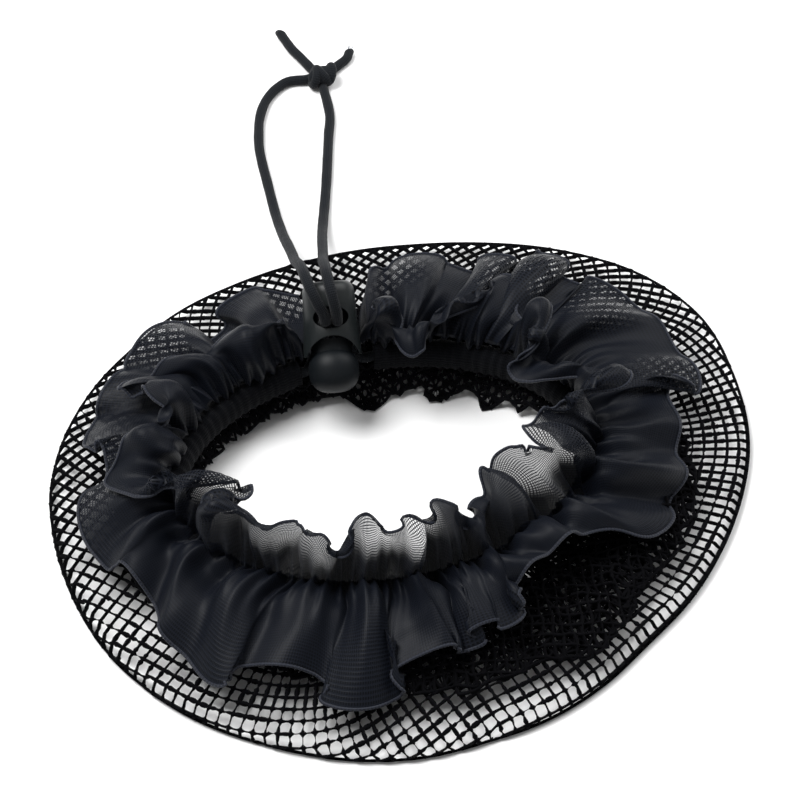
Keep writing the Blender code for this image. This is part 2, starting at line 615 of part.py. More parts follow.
def make_barrel(material, collection, cutters, frame):
    length = BARREL_ABOVE + BARREL_BELOW
    rings = [(row["along"] * length - BARREL_BELOW, row["width"] * BARREL_WIDTH,
              row["depth"] * BARREL_DEPTH) for row in BARREL_SECTIONS]
    barrel = add_mesh("cord_lock_barrel", oval_prism(rings, LOCK_SIDES), material, collection)
    bore_top = CORD_DIAMETER / 2 + LOCK_CLEAR + STEM_TIP + PRESS_TRAVEL + LOCK_CLEAR
    bore_size = (STEM_WIDTH + 2 * LOCK_CLEAR, STEM_DEPTH + 2 * LOCK_CLEAR)
    bore = add_mesh("bore_cutter", oval_prism([(-BARREL_BELOW - BARREL_DEPTH, *bore_size),
                                               (bore_top, *bore_size)], LOCK_SIDES),
                    material, cutters)
    hole = through_cutter("hole_cutter", HOLE_WIDTH, HOLE_LENGTH, 0.0, material, cutters)
    arch_size = BUTTON_WIDTH + 2 * ARCH_CLEAR
    arch = through_cutter("arch_cutter", arch_size, arch_size, -ARCH_TOP - arch_size / 2,
                          material, cutters)
    for cutter in (bore, arch, hole):
        cut(barrel, place_on_lock(cutter, frame))
    return place_on_lock(barrel, frame)


def make_button(material, collection, cutters, frame):
    bm = bmesh.new()
    bmesh.ops.create_uvsphere(bm, u_segments=BUTTON_SIDES, v_segments=BUTTON_RINGS, radius=0.5)
    bmesh.ops.scale(bm, verts=bm.verts, vec=(BUTTON_WIDTH, BUTTON_DEPTH, BUTTON_LENGTH))
    bmesh.ops.translate(bm, verts=bm.verts, vec=(0.0, 0.0, -BUTTON_DROP))
    button = add_mesh("cord_lock_button", bm, material, collection)
    slot_top = CORD_DIAMETER / 2 + LOCK_CLEAR
    slot_low = -slot_top - PRESS_TRAVEL
    stem = add_mesh("stem_union", oval_prism([(-BUTTON_DROP, STEM_WIDTH, STEM_DEPTH),
                                              (slot_top + STEM_TIP, STEM_WIDTH, STEM_DEPTH)],
                                             LOCK_SIDES), material, cutters)
    slot_bm = bmesh.new()
    bmesh.ops.create_cube(slot_bm, size=1.0)
    slot_width = 2 * CORD_LANE + CORD_DIAMETER + 2 * LOCK_CLEAR
    bmesh.ops.scale(slot_bm, verts=slot_bm.verts,
                    vec=(slot_width, 2 * STEM_DEPTH, slot_top - slot_low))
    bmesh.ops.translate(slot_bm, verts=slot_bm.verts, vec=(0.0, 0.0, (slot_top + slot_low) / 2))
    slot = add_mesh("slot_cutter", slot_bm, material, cutters)
    cut(button, place_on_lock(stem, frame), "UNION")
    cut(button, place_on_lock(slot, frame))
    return place_on_lock(button, frame)


def main():
    for thing in list(bpy.data.objects):
        bpy.data.objects.remove(thing, do_unlink=True)
    hairnet = bpy.data.collections.new("hairnet")
    cutters = bpy.data.collections.new("cutters")
    bpy.context.scene.collection.children.link(hairnet)
    bpy.context.scene.collection.children.link(cutters)

    net_cloth = make_material("net_cloth", (0.012, 0.012, 0.014), 0.75)
    casing_cloth = make_material("casing_cloth", (0.010, 0.010, 0.012), 0.90)
    organza = make_material("organza", (0.012, 0.014, 0.018), 0.60)
    elastic = make_material("elastic", (0.010, 0.010, 0.012), 0.85)
    barrel_plastic = make_material("barrel_plastic", (0.018, 0.021, 0.022), 0.55)
    button_plastic = make_material("button_plastic", (0.016, 0.019, 0.021), 0.50)

    make_net(net_cloth, hairnet)
    make_casing(casing_cloth, hairnet)
    make_ruffle(organza, hairnet)
    make_cord("drawcord", drawcord_route(), elastic, hairnet)
    make_free_cords(elastic, hairnet)
    make_knot(elastic, hairnet)

    lock_frame = bpy.data.objects.new("lock_frame", None)
    hairnet.objects.link(lock_frame)
    lock_frame.location = lock_hole()
    lock_frame.rotation_euler = (math.radians(-LOCK_SLOPE), 0.0, math.radians(LOCK_YAW))
    make_barrel(barrel_plastic, hairnet, cutters, lock_frame)
    make_button(button_plastic, hairnet, cutters, lock_frame)


main()
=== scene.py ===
import math

import bmesh
import bpy
from mathutils import Euler, Matrix, Vector, noise


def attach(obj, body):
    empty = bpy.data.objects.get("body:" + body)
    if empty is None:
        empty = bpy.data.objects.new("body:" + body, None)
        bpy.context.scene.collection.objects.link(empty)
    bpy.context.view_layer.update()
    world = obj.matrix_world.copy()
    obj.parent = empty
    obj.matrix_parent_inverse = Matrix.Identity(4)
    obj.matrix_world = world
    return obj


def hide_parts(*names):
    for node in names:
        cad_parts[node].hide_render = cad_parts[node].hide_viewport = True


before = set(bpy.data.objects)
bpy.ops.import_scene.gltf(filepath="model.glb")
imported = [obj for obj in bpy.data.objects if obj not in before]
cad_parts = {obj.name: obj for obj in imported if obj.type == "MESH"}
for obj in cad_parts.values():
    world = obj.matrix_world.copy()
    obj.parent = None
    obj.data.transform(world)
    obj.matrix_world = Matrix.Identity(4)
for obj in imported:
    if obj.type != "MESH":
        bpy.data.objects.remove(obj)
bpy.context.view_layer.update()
print("frame loaded,", len(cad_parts), "nodes")

mm = 0.001
scene = bpy.context.scene

# lines that the cloth pieces share, lengths in mm and angles in degrees
ring = {
    "casingLong": 56.0, "casingShort": 40.5, "casingTurn": 15.0,
    "casingCentre": (-5.0, -6.0), "casingMiddle": 12.0,
    # where the casing opens for the lock, and half the length of the opening
    "lockRoot": 110.0, "exitLength": 10.5,
    "rimLong": 98.2, "rimShort": 86.1, "rimTurn": 35.0,
    "gatherHeight": 17.3, "netCrest": 6.7,
    # share of the way from casing to rim, share of netCrest
    "netProfile": ((0.0, 1.0), (0.25, 1.10), (0.5, 1.0), (0.75, 0.76), (1.0, 0.44)),
}


def clamp(value, low=0.0, high=1.0):
    return max(low, min(high, value))


def ovalRadius(long, short, turn, angle):
    across = math.radians(angle - turn)
    return 1.0 / math.hypot(math.cos(across) / long, math.sin(across) / short)


def direction(angle):
    return Vector((math.cos(math.radians(angle)), math.sin(math.radians(angle)), 0.0))


def casingRadius(angle):
    return ovalRadius(ring["casingLong"], ring["casingShort"], ring["casingTurn"], angle)


def casingPoint(angle, outward=0.0, height=0.0):
    centre = Vector((*ring["casingCentre"], height))
    return (centre + direction(angle) * (casingRadius(angle) + outward)) * mm


# half of the casing's opening, in degrees
exitTurn = math.degrees(ring["exitLength"] / casingRadius(ring["lockRoot"]))


def readTable(rows, column, place):
    # a smooth curve through one column of a table, whose first column is the place
    index = max(0, min(len(rows) - 2, sum(place >= row[0] for row in rows) - 1))
    low, high = rows[index], rows[index + 1]
    before, after = rows[max(0, index - 1)], rows[min(len(rows) - 1, index + 2)]
    span = high[0] - low[0]
    t = (place - low[0]) / span
    leave = (high[column] - before[column]) / (high[0] - before[0]) * span
    arrive = (after[column] - low[column]) / (after[0] - low[0]) * span
    return ((2 * t**3 - 3 * t**2 + 1) * low[column] + (t**3 - 2 * t**2 + t) * leave
            + (3 * t**2 - 2 * t**3) * high[column] + (t**3 - t**2) * arrive)


def rimReach(angle):
    # from the casing's centre to the rim in one direction, in mm
    turn = Matrix.Rotation(math.radians(-ring["rimTurn"]), 2)
    size = Vector((1.0 / ring["rimLong"], 1.0 / ring["rimShort"]))
    start = (turn @ Vector(ring["casingCentre"])) * size
    heading = (turn @ direction(angle).xy) * size
    across, square = start.dot(heading), heading.dot(heading)
    return (math.sqrt(across**2 - square * (start.dot(start) - 1.0)) - across) / square


def netPlace(x, y):
    # for a point in mm: its angle about the casing, its share of the way out, its distance
    away = Vector((x - ring["casingCentre"][0], y - ring["casingCentre"][1], 0.0))
    angle = math.degrees(math.atan2(away.y, away.x))
    inner = casingRadius(angle)
    outward = away.length - inner
    return angle, outward / max(1.0, rimReach(angle) - inner), outward


def netHeight(share):
    return ring["netCrest"] * readTable(ring["netProfile"], 1, clamp(share))


def addObject(name, data):
    added = bpy.data.objects.new(name, data)
    scene.collection.objects.link(added)
    return added


def addPiece(name, bm, material):
    mesh = bpy.data.meshes.new(name)
    bm.to_mesh(mesh)
    bm.free()
    mesh.materials.append(material)
    for face in mesh.polygons:
        face.use_smooth = len(face.vertices) <= 4  # cut ends and caps stay flat
    return addObject(name, mesh)


def applyModifiers(piece):
    graph = bpy.context.evaluated_depsgraph_get()
    mesh = bpy.data.meshes.new_from_object(piece.evaluated_get(graph))
    piece.modifiers.clear()
    piece.data = mesh


def setUv(bm, uv, told):
    for face in bm.faces:
        for loop in face.loops:
            loop[uv].uv = told[loop.vert]


def noiseShift(co, scale, apart):
    return Vector((noise.noise(co * scale), noise.noise(co * scale + Vector(apart)), 0.0))


# camera, at the photograph's angle
view = {"target": (-1.0, 29.15, 0.0), "elevation": 48.0, "distance": 640.0, "lens": 104.3,
        "sensor": 36.0}


def makeCamera(values):
    slope = math.radians(values["elevation"])
    back = Vector((0.0, -math.cos(slope), math.sin(slope)))
    data = bpy.data.cameras.new("camera")
    data.lens, data.sensor_width = values["lens"], values["sensor"]
    camera = addObject("camera", data)
    camera.location = (Vector(values["target"]) + back * values["distance"]) * mm
    camera.rotation_euler = (-back).to_track_quat("-Z", "Y").to_euler()
    scene.camera = camera


makeCamera(view)


# shader groups that several materials share
def newGroup(name, inputs, outputs):
    group = bpy.data.node_groups.new(name, "ShaderNodeTree")
    for label, kind, value in inputs:
        socket = group.interface.new_socket(label, in_out="INPUT", socket_type=kind)
        if value is not None:
            socket.default_value = value
    for label, kind in outputs:
        group.interface.new_socket(label, in_out="OUTPUT", socket_type=kind)
    return group, group.nodes.new("NodeGroupInput"), group.nodes.new("NodeGroupOutput")


def mathNode(tree, operation, first, second=None):
    node = tree.nodes.new("ShaderNodeMath")
    node.operation = operation
    for socket, value in zip(node.inputs, (first, second)):
        if value is None:
            continue
        if isinstance(value, (int, float)):
            socket.default_value = value
        else:
            tree.links.new(value, socket)
    return node.outputs[0]


def setInputs(node, values):
    for name, value in values.items():
        node.inputs[name].default_value = value


def sineOf(tree, place, pitch):
    turns = mathNode(tree, "DIVIDE", place, pitch)
    return mathNode(tree, "SINE", mathNode(tree, "MULTIPLY", turns, 2 * math.pi))


def threadLine(tree, place, pitch, cover):
    # a row of threads: 1 on a thread and 0 between, soft at its sides
    soft = 0.3
    spread = tree.nodes.new("ShaderNodeMapRange")
    spread.interpolation_type = "SMOOTHSTEP"
    tree.links.new(sineOf(tree, place, pitch), spread.inputs["Value"])
    tree.links.new(mathNode(tree, "SUBTRACT", cover, soft), spread.inputs["From Min"])
    tree.links.new(mathNode(tree, "ADD", cover, soft), spread.inputs["From Max"])
    return spread.outputs["Result"]


def makeWeaveGroup():
    group, start, end = newGroup(
        "threadWeave",
        (("Place", "NodeSocketVector", None), ("Pitch", "NodeSocketFloat", 0.0006),
         ("Level", "NodeSocketFloat", 0.3)),
        (("Threads", "NodeSocketFloat"), ("Height", "NodeSocketFloat")))
    split = group.nodes.new("ShaderNodeSeparateXYZ")
    group.links.new(start.outputs["Place"], split.inputs[0])
    along = threadLine(group, split.outputs["X"], start.outputs["Pitch"], start.outputs["Level"])
    across = threadLine(group, split.outputs["Y"], start.outputs["Pitch"], start.outputs["Level"])
    group.links.new(mathNode(group, "MAXIMUM", along, across), end.inputs["Threads"])
    group.links.new(mathNode(group, "ADD", along, across), end.inputs["Height"])
    return group


def makeBraidGroup():
    # two sets of slanting yarns that cross round a cord
    group, start, end = newGroup(
        "braid",
        (("Place", "NodeSocketVector", None), ("Pitch", "NodeSocketFloat", 0.0011)),
        (("Yarns", "NodeSocketFloat"),))
    split = group.nodes.new("ShaderNodeSeparateXYZ")
    group.links.new(start.outputs["Place"], split.inputs[0])
    yarns = [sineOf(group, mathNode(group, operation, split.outputs["X"], split.outputs["Y"]),
                    start.outputs["Pitch"]) for operation in ("ADD", "SUBTRACT")]
    joined = mathNode(group, "MULTIPLY", *yarns)
    # the third input keeps its own 0.5, so that -1..1 becomes 0..1
    group.links.new(mathNode(group, "MULTIPLY_ADD", joined, 0.5), end.inputs["Yarns"])
    return group


def makeGrainGroup():
    group, start, end = newGroup(
        "fineGrain",
        (("Place", "NodeSocketVector", None), ("Scale", "NodeSocketFloat", 2000.0)),
        (("Value", "NodeSocketFloat"),))
    grain = group.nodes.new("ShaderNodeTexNoise")
    setInputs(grain, {"Detail": 3.0})
    group.links.new(start.outputs["Place"], grain.inputs["Vector"])
    group.links.new(start.outputs["Scale"], grain.inputs["Scale"])
    group.links.new(grain.outputs["Fac"], end.inputs["Value"])
    return group


weaveGroup, braidGroup, grainGroup = makeWeaveGroup(), makeBraidGroup(), makeGrainGroup()

sheenRoughness = 0.4
# finishes: dark and light are the two colours that the pattern runs between
finishes = {
    "organza": {"dark": (0.0016, 0.0020, 0.0032), "light": (0.0060, 0.0075, 0.0120), "rough": 0.42,
                "shine": 0.10, "sheen": 0.01, "pitch": 0.00070, "level": 0.20,
                "gapAlpha": 0.16, "threadAlpha": 0.95, "fullAlpha": 0.997,
                "bump": 0.35, "depth": 0.00010},
    "hemCloth": {"dark": (0.005, 0.006, 0.010), "light": (0.015, 0.018, 0.028), "rough": 0.55,
                 "shine": 0.2, "sheen": 0.10, "pitch": 0.0009, "level": 0.1,
                 "bump": 0.6, "depth": 0.00015},
    "casingCloth": {"dark": (0.0015, 0.0015, 0.002), "light": (0.004, 0.0045, 0.006), "rough": 0.85,
                    "shine": 0.05, "sheen": 0.04, "pitch": 0.0008, "level": 0.1,
                    "bump": 0.7, "depth": 0.00015},
    "netYarn": {"dark": (0.001, 0.001, 0.0015), "light": (0.003, 0.003, 0.004), "rough": 0.8,
                "shine": 0.04, "sheen": 0.01, "grain": 2600.0, "bump": 0.5, "depth": 0.0001},
    "elasticBraid": {"dark": (0.004, 0.005, 0.006), "light": (0.016, 0.018, 0.022), "rough": 0.8,
                     "shine": 0.08, "sheen": 0.08, "braid": 0.0010, "bump": 0.8,
                     "depth": 0.00018},
    "frayedYarn": {"dark": (0.10, 0.11, 0.13), "light": (0.40, 0.42, 0.46), "rough": 0.7,
                   "shine": 0.3, "sheen": 0.2, "grain": 3000.0, "bump": 0.2, "depth": 0.00005},
    "barrelPlastic": {"dark": (0.007, 0.009, 0.0095), "light": (0.013, 0.016, 0.017),
                      "rough": 0.40, "shine": 0.30, "sheen": 0.0, "grain": 1500.0,
                      "bump": 0.12, "depth": 0.00005},
    "buttonPlastic": {"dark": (0.003, 0.004, 0.005), "light": (0.006, 0.008, 0.010),
                      "rough": 0.48, "shine": 0.16, "sheen": 0.0, "grain": 2200.0,
                      "bump": 0.18, "depth": 0.00005},
}


def makeFinish(name):
    values = finishes[name]
    material = bpy.data.materials.new(name)
    material.use_nodes = True
    tree = material.node_tree
    link = tree.links.new
    shader = tree.nodes["Principled BSDF"]
    setInputs(shader, {"Roughness": values["rough"], "Specular IOR Level": values["shine"],
                       "Sheen Weight": values["sheen"], "Sheen Roughness": sheenRoughness})
    place = tree.nodes.new("ShaderNodeTexCoord")
    pattern = tree.nodes.new("ShaderNodeGroup")
    if "grain" in values:
        pattern.node_tree = grainGroup
        setInputs(pattern, {"Scale": values["grain"]})
        link(place.outputs["Object"], pattern.inputs["Place"])
        tone = height = pattern.outputs["Value"]
    elif "braid" in values:
        pattern.node_tree = braidGroup
        setInputs(pattern, {"Pitch": values["braid"]})
        link(place.outputs["UV"], pattern.inputs["Place"])
        tone = height = pattern.outputs["Yarns"]
    else:
        pattern.node_tree = weaveGroup
        setInputs(pattern, {"Pitch": values["pitch"], "Level": values["level"]})
        link(place.outputs["UV"], pattern.inputs["Place"])
        tone, height = pattern.outputs["Threads"], pattern.outputs["Height"]
    mix = tree.nodes.new("ShaderNodeMix")
    mix.data_type = "RGBA"
    setInputs(mix, {"A": (*values["dark"], 1.0), "B": (*values["light"], 1.0)})
    link(tone, mix.inputs["Factor"])
    link(mix.outputs["Result"], shader.inputs["Base Color"])
    bump = tree.nodes.new("ShaderNodeBump")
    setInputs(bump, {"Strength": values["bump"], "Distance": values["depth"]})
    link(height, bump.inputs["Height"])
    link(bump.outputs["Normal"], shader.inputs["Normal"])
    if "gapAlpha" in values:
        cover = tree.nodes.new("ShaderNodeMapRange")
        setInputs(cover, {"To Min": values["gapAlpha"], "To Max": values["threadAlpha"]})
        link(tone, cover.inputs["Value"])
        # where the cloth is gathered, the folds behind close its gaps
        fullness = tree.nodes.new("ShaderNodeAttribute")
        fullness.attribute_name = "fullness"
        closed = tree.nodes.new("ShaderNodeMapRange")
        setInputs(closed, {"To Max": values["fullAlpha"]})
        link(fullness.outputs["Fac"], closed.inputs["Value"])
        link(cover.outputs["Result"], closed.inputs["To Min"])
        link(closed.outputs["Result"], shader.inputs["Alpha"])
    return material


finish = {name: makeFinish(name) for name in finishes}
print("finishes made:", len(finish))


# cords
def evenRoute(points, spacing):
    # a smooth curve through the points, cut into even steps
    parts, fine = 12, []
    for i in range(len(points) - 1):
        a, b = points[max(0, i - 1)], points[i]
        c, d = points[i + 1], points[min(len(points) - 1, i + 2)]
        for k in range(parts):
            t = k / parts
            fine.append(0.5 * (2 * b + (c - a) * t + (2 * a - 5 * b + 4 * c - d) * t * t
                               + (3 * b - a - 3 * c + d) * t * t * t))
    fine.append(points[-1])
    lengths = [0.0]
    for a, b in zip(fine, fine[1:]):
        lengths.append(lengths[-1] + (b - a).length)
    count = max(2, round(lengths[-1] / spacing))
    even, at = [], 0
    for k in range(count + 1):
        target = lengths[-1] * k / count
        while at < len(lengths) - 2 and lengths[at + 1] < target:
            at += 1
        share = (target - lengths[at]) / (lengths[at + 1] - lengths[at])
        even.append(fine[at].lerp(fine[at + 1], share))
    return even


def routeLength(route):
    return sum((b - a).length for a, b in zip(route, route[1:]))


def extrudeRing(bm, edges):
    grown = bmesh.ops.extrude_edge_only(bm, edges=edges)["geom"]
    verts = [v for v in grown if isinstance(v, bmesh.types.BMVert)]
    edges = [e for e in grown if isinstance(e, bmesh.types.BMEdge)
             and e.verts[0] in verts and e.verts[1] in verts]
    return verts, edges, [f for f in grown if isinstance(f, bmesh.types.BMFace)]


def sweepTube(bm, route, radiusAt, sides, slant=0.0):
    # a ring is extruded along the route; its UV is in metres, along and round the tube
    uv = bm.loops.layers.uv.verify()
    told = {}
    heading = (route[1] - route[0]).normalized()
    turn = heading.to_track_quat("Z", "Y").to_matrix().to_4x4()
    made = bmesh.ops.create_circle(bm, cap_ends=True, segments=sides, radius=1.0,
                                   matrix=Matrix.Identity(4))["verts"]
    edges = list({e for v in made for e in v.link_edges})
    spots = {v: v.co.copy() for v in made}
    length = 0.0
    faces = set(f for v in made for f in v.link_faces)
    for index, point in enumerate(route):
        if index:
            fresh, edges, walls = extrudeRing(bm, edges)
            faces.update(walls)
            old = {v.co.to_tuple(8): spots[v] for v in made}
            spots = {v: old[v.co.to_tuple(8)] for v in fresh}
            made = fresh
            length += (point - route[index - 1]).length
            ahead = route[min(index + 1, len(route) - 1)] - route[index - 1]
            swing = heading.rotation_difference(ahead.normalized())
            heading = ahead.normalized()
            turn = swing.to_matrix().to_4x4() @ turn
        radius = radiusAt(length)
        for v in made:
            spot = spots[v]
            v.co = point + turn.to_3x3() @ (spot * radius)
            if index == len(route) - 1:
                v.co += heading * (spot.x * radius * slant)
            told[v] = (length, math.atan2(spot.y, spot.x) * radius)
    faces.update(bmesh.ops.contextual_create(bm, geom=edges)["faces"])
    for face in faces:
        places = [told[loop.vert] for loop in face.loops]
        high = max(place[1] for place in places)
        for loop, (along, around) in zip(face.loops, places):
            full = 2 * math.pi * radiusAt(along)
            if high - around > full / 2:  # the face that closes the ring
                around += full
            loop[uv].uv = (along, around)
    bmesh.ops.recalc_face_normals(bm, faces=list(faces))


cord = {
    "diameter": 3.0, "spacing": 0.9, "sides": 20, "lane": 1.60, "holeDrop": 1.3,
    "intoKnot": 0.45,     # share of the way to the knot's middle that a strand runs on
    # share by which the cord swells and narrows, how quickly, and a seed
    "uneven": 0.05, "unevenScale": 260.0, "unevenSeed": 3.7,
    "leftStrand": (
        (-21.2, 27.6, 35.7), (-22.4, 27.6, 38.8), (-24.0, 29.2, 41.7), (-25.2, 31.7, 42.9),
        (-26.3, 35.4, 42.7), (-27.3, 40.4, 40.2), (-28.3, 46.5, 35.4), (-29.4, 54.0, 28.8),
        (-30.3, 60.5, 23.4), (-31.3, 67.0, 19.2), (-32.8, 75.0, 14.6), (-34.4, 83.5, 9.4),
        (-35.9, 92.0, 4.8), (-37.7, 100.5, 2.2), (-39.6, 109.5, 1.6), (-41.3, 117.5, 1.6),
        (-42.8, 124.4, 1.6), (-44.0, 131.5, 1.6), (-44.4, 138.4, 1.6), (-44.4, 144.0, 1.6),
        (-43.7, 149.5, 1.6), (-42.2, 154.5, 1.6), (-39.6, 159.0, 1.6), (-36.0, 162.4, 1.6),
    ),
    "rightStrand": (
        (-17.8, 27.9, 35.7), (-18.3, 28.1, 38.8), (-19.1, 29.7, 41.7), (-19.8, 32.3, 42.9),
        (-20.5, 36.0, 42.7), (-21.0, 41.0, 40.0), (-21.5, 47.0, 35.2), (-22.1, 54.5, 28.6),
        (-22.4, 61.0, 23.2), (-22.7, 67.5, 19.0), (-23.1, 75.5, 14.4), (-23.5, 84.0, 9.2),
        (-23.7, 92.5, 4.7), (-23.6, 101.0, 2.2), (-23.3, 110.0, 1.6), (-23.1, 119.0, 1.6),
        (-23.0, 128.0, 1.6), (-22.9, 137.0, 1.6), (-22.8, 147.0, 1.6),
    ),
    "leftTail": (
        (-32.6, 174.0, 1.6), (-35.6, 178.4, 1.6), (-39.2, 185.6, 1.6),
    ),
    "rightTail": (
        (-20.2, 170.6, 1.6), (-18.0, 173.4, 1.6), (-17.2, 176.6, 1.6),
    ),
}

lock = {
    "hole": (-19.78, 33.63, 28.0), "slope": 48.0, "yaw": 5.8,
    "barrelWidth": 14.4, "barrelDepth": 12.6, "above": 9.7, "below": 10.2,
    "holeWidth": 9.5, "holeLength": 6.0, "stemWidth": 10.8, "stemDepth": 7.2,
    "buttonWidth": 13.6, "buttonDepth": 12.0, "buttonLength": 12.6, "buttonDrop": 13.9,
    "archTop": 4.9, "travel": 2.5, "clear": 0.3, "archClear": 0.5, "stemTip": 1.6,
    "sides": 72, "edge": 0.32, "topFullness": 2.15, "lowFullness": 2.6, "boreBelow": 12.0,
    "ballSides": 64, "ballRings": 40, "stemSides": 48, "buttonEdge": 0.2,
    "edgeSteps": 3, "edgeAngle": 40.0, "sharpAngle": 32.0,
    # share of the length, shares of width and depth
    "sections": ((0.0, 1.08, 0.92), (0.04, 1.08, 0.96), (0.10, 1.08, 1.0), (0.28, 1.045, 1.0),
                 (0.45, 1.01, 1.0), (0.70, 0.99, 0.99), (0.85, 0.98, 0.98), (0.91, 0.95, 0.94),
                 (0.955, 0.89, 0.87), (0.985, 0.80, 0.76), (1.0, 0.70, 0.64)),
}
lockTurn = Euler((math.radians(-lock["slope"]), 0.0, math.radians(lock["yaw"]))).to_matrix()


def lockPoint(x, y, z):
    return (Vector(lock["hole"]) + lockTurn @ Vector((x, y, z))) * mm


knot = {"centre": (-25.9, 163.9, 2.8), "length": 9.2, "width": 6.4, "turn": 20.0, "gap": 0.3,
        "shift": (0.5, -1.0, 0.75), "core": (4.6, 3.1, 2.9),
        # place along the knot, lean, reach sideways, rise
        "turns": ((-2.5, 1.0, 2.3, 2.0), (0.1, -1.3, 2.6, 2.15), (2.6, 0.9, 2.3, 2.0)),
        "turnSteps": 48, "turnSides": 16, "turnLag": 0.6, "turnRadius": 0.46,
        "tailInside": 0.25, "tailSpacing": 0.7, "tailSides": 18,
        # how aslant each cut end is
        "tails": (("leftTail", 0.8), ("rightTail", -0.4))}


def knotSide(toward):
    away = Vector((toward.x - knot["centre"][0] * mm, toward.y - knot["centre"][1] * mm, 0.0))
    away.normalize()
    angle = math.degrees(math.atan2(away.y, away.x))
    reach = ovalRadius(knot["length"] / 2, knot["width"] / 2, knot["turn"], angle) + knot["gap"]
    place = Vector((knot["centre"][0] * mm, knot["centre"][1] * mm, 0.0)) + away * reach * mm
    place.z = toward.z
    return place


def cordRadius(length):
    swell = noise.noise(Vector((length * cord["unevenScale"], 0.0, cord["unevenSeed"])))
    return cord["diameter"] / 2 * mm * (1.0 + cord["uneven"] * swell)


def makeStrand(name, side, node):
    points = [Vector(p) * mm for p in cord[side]]
    lane = cord["lane"] * (-1 if side == "leftStrand" else 1)
    exit = lockPoint(lane, -lock["barrelDepth"] / 2, -cord["holeDrop"])
    side = knotSide(points[-1])
    inside = side.lerp(Vector(knot["centre"]) * mm, cord["intoKnot"])
    route = evenRoute([exit] + points + [side, inside], cord["spacing"] * mm)
    bm = bmesh.new()
    sweepTube(bm, route, cordRadius, cord["sides"])
    strand = addPiece(name, bm, finish["elasticBraid"])
    length = routeLength(route)
    print(name, "length", round(length / mm, 1), "mm")
    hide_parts(node)
    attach(strand, "hairnet")
    return strand, exit, length, route


def makeKnot():
    # the tie: a filling, three turns of cord round it, and the two cut ends
    centre = Vector(knot["centre"]) * mm
    heart = centre + Vector(knot["shift"]) * mm
    lie = Matrix.Rotation(math.radians(knot["turn"]), 3, "Z")
    bm = bmesh.new()
    for shift, lean, reach, rise in knot["turns"]:
        route = []
        for k in range(knot["turnSteps"] + 1):
            a = 2 * math.pi * k / knot["turnSteps"]
            route.append(heart + lie @ Vector((
                shift + lean * math.sin(a + knot["turnLag"]), reach * math.cos(a),
                rise * math.sin(a))) * mm)
        sweepTube(bm, route, lambda length: knot["turnRadius"] * cord["diameter"] * mm,
                  knot["turnSides"])
    core = bmesh.ops.create_icosphere(bm, subdivisions=4, radius=1.0)["verts"]
    bmesh.ops.transform(bm, verts=core, matrix=Matrix.Translation(heart) @ lie.to_4x4()
                        @ Matrix.Diagonal((*(Vector(knot["core"]) * mm), 1.0)))
    for side, slant in knot["tails"]:
        points = [Vector(p) * mm for p in cord[side]]
        start = heart.lerp(points[0], knot["tailInside"])
        route = evenRoute([start, knotSide(points[0])] + points, knot["tailSpacing"] * mm)
        sweepTube(bm, route, cordRadius, knot["tailSides"], slant)
    tied = addPiece("cordKnot", bm, finish["elasticBraid"])
    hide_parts("cord_knot", "cord_tail_left", "cord_tail_right")
    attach(tied, "hairnet")
    return tied


fray = {"yarns": 14, "turn": 2.4, "ring": 0.35, "spread": 0.7, "rings": 4, "inside": 0.8,
        "reach": 1.2, "longer": 0.45, "lengths": 5, "flare": 1.7, "lowest": 0.25, "arch": 0.1,
        "radius": 0.11, "sides": 5}


def makeFrayedEnd(values):
    # short yarns that spread from the right tail's cut
    end = Vector(cord["rightTail"][-1]) * mm
    heading = (end - Vector(cord["rightTail"][-2]) * mm).normalized()
    bm = bmesh.new()
    for k in range(values["yarns"]):
        a = values["turn"] * k
        size = values["ring"] + values["spread"] * (k % values["rings"]) / values["rings"]
        around = Vector((math.cos(a), 0.0, math.sin(a))) * size * mm
        reach = values["reach"] + values["longer"] * (k % values["lengths"])
        start = end - heading * values["inside"] * mm + around
        tip = end + heading * reach * mm + around * values["flare"]
        tip.z = max(values["lowest"] * mm, tip.z)
        middle = start.lerp(tip, 0.5) + Vector((0, 0, values["arch"] * mm))
        sweepTube(bm, [start, middle, tip], lambda length: values["radius"] * mm,
                  values["sides"])
    yarns = addPiece("cordFray", bm, finish["frayedYarn"])
    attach(yarns, "hairnet")


leftStrand, leftExit, leftLength, leftRoute = makeStrand("cordLeft", "leftStrand",
                                                         "cord_strand_left")
rightStrand, rightExit, rightLength, rightRoute = makeStrand("cordRight", "rightStrand",
                                                             "cord_strand_right")
tiedKnot = makeKnot()
makeFrayedEnd(fray)
print("free cords made")


heldCord = {"leadOut": 0.72, "leadSpread": 1.0, "leadSag": 0.3, "seat": 0.8, "points": 60,
            "spacing": 1.6, "sides": 12}


def makeDrawcord(values):
    half = lock["barrelDepth"] / 2
    root, middle, count = ring["lockRoot"], ring["casingMiddle"], values["points"]
    line = [casingPoint(root + exitTurn + (360.0 - 2 * exitTurn) * k / count, 0.0, middle)
            for k in range(count + 1)]
    ends = []
    for side in (-1, 1):
        lane = side * cord["lane"]
        drop = -cord["holeDrop"]
        top = lockPoint(lane, values["seat"] - half, drop)
        out = lockPoint(lane, half, drop)
        below = lockPoint(lane * values["leadSpread"], half + cord["diameter"], drop)
        lead = casingPoint(root - side * exitTurn * values["leadOut"], 0.0, middle)
        rise = below.lerp(lead, 0.5) - Vector((0, 0, values["leadSag"] * cord["diameter"] * mm))
        ends.append([top, top.lerp(out, 0.5), out, below, rise, lead])
    bm = bmesh.new()
    sweepTube(bm, evenRoute(ends[0] + line + ends[1][::-1], values["spacing"] * mm), cordRadius,
              values["sides"])
    held = addPiece("drawcordElastic", bm, finish["elasticBraid"])
    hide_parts("drawcord")
    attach(held, "hairnet")


makeDrawcord(heldCord)


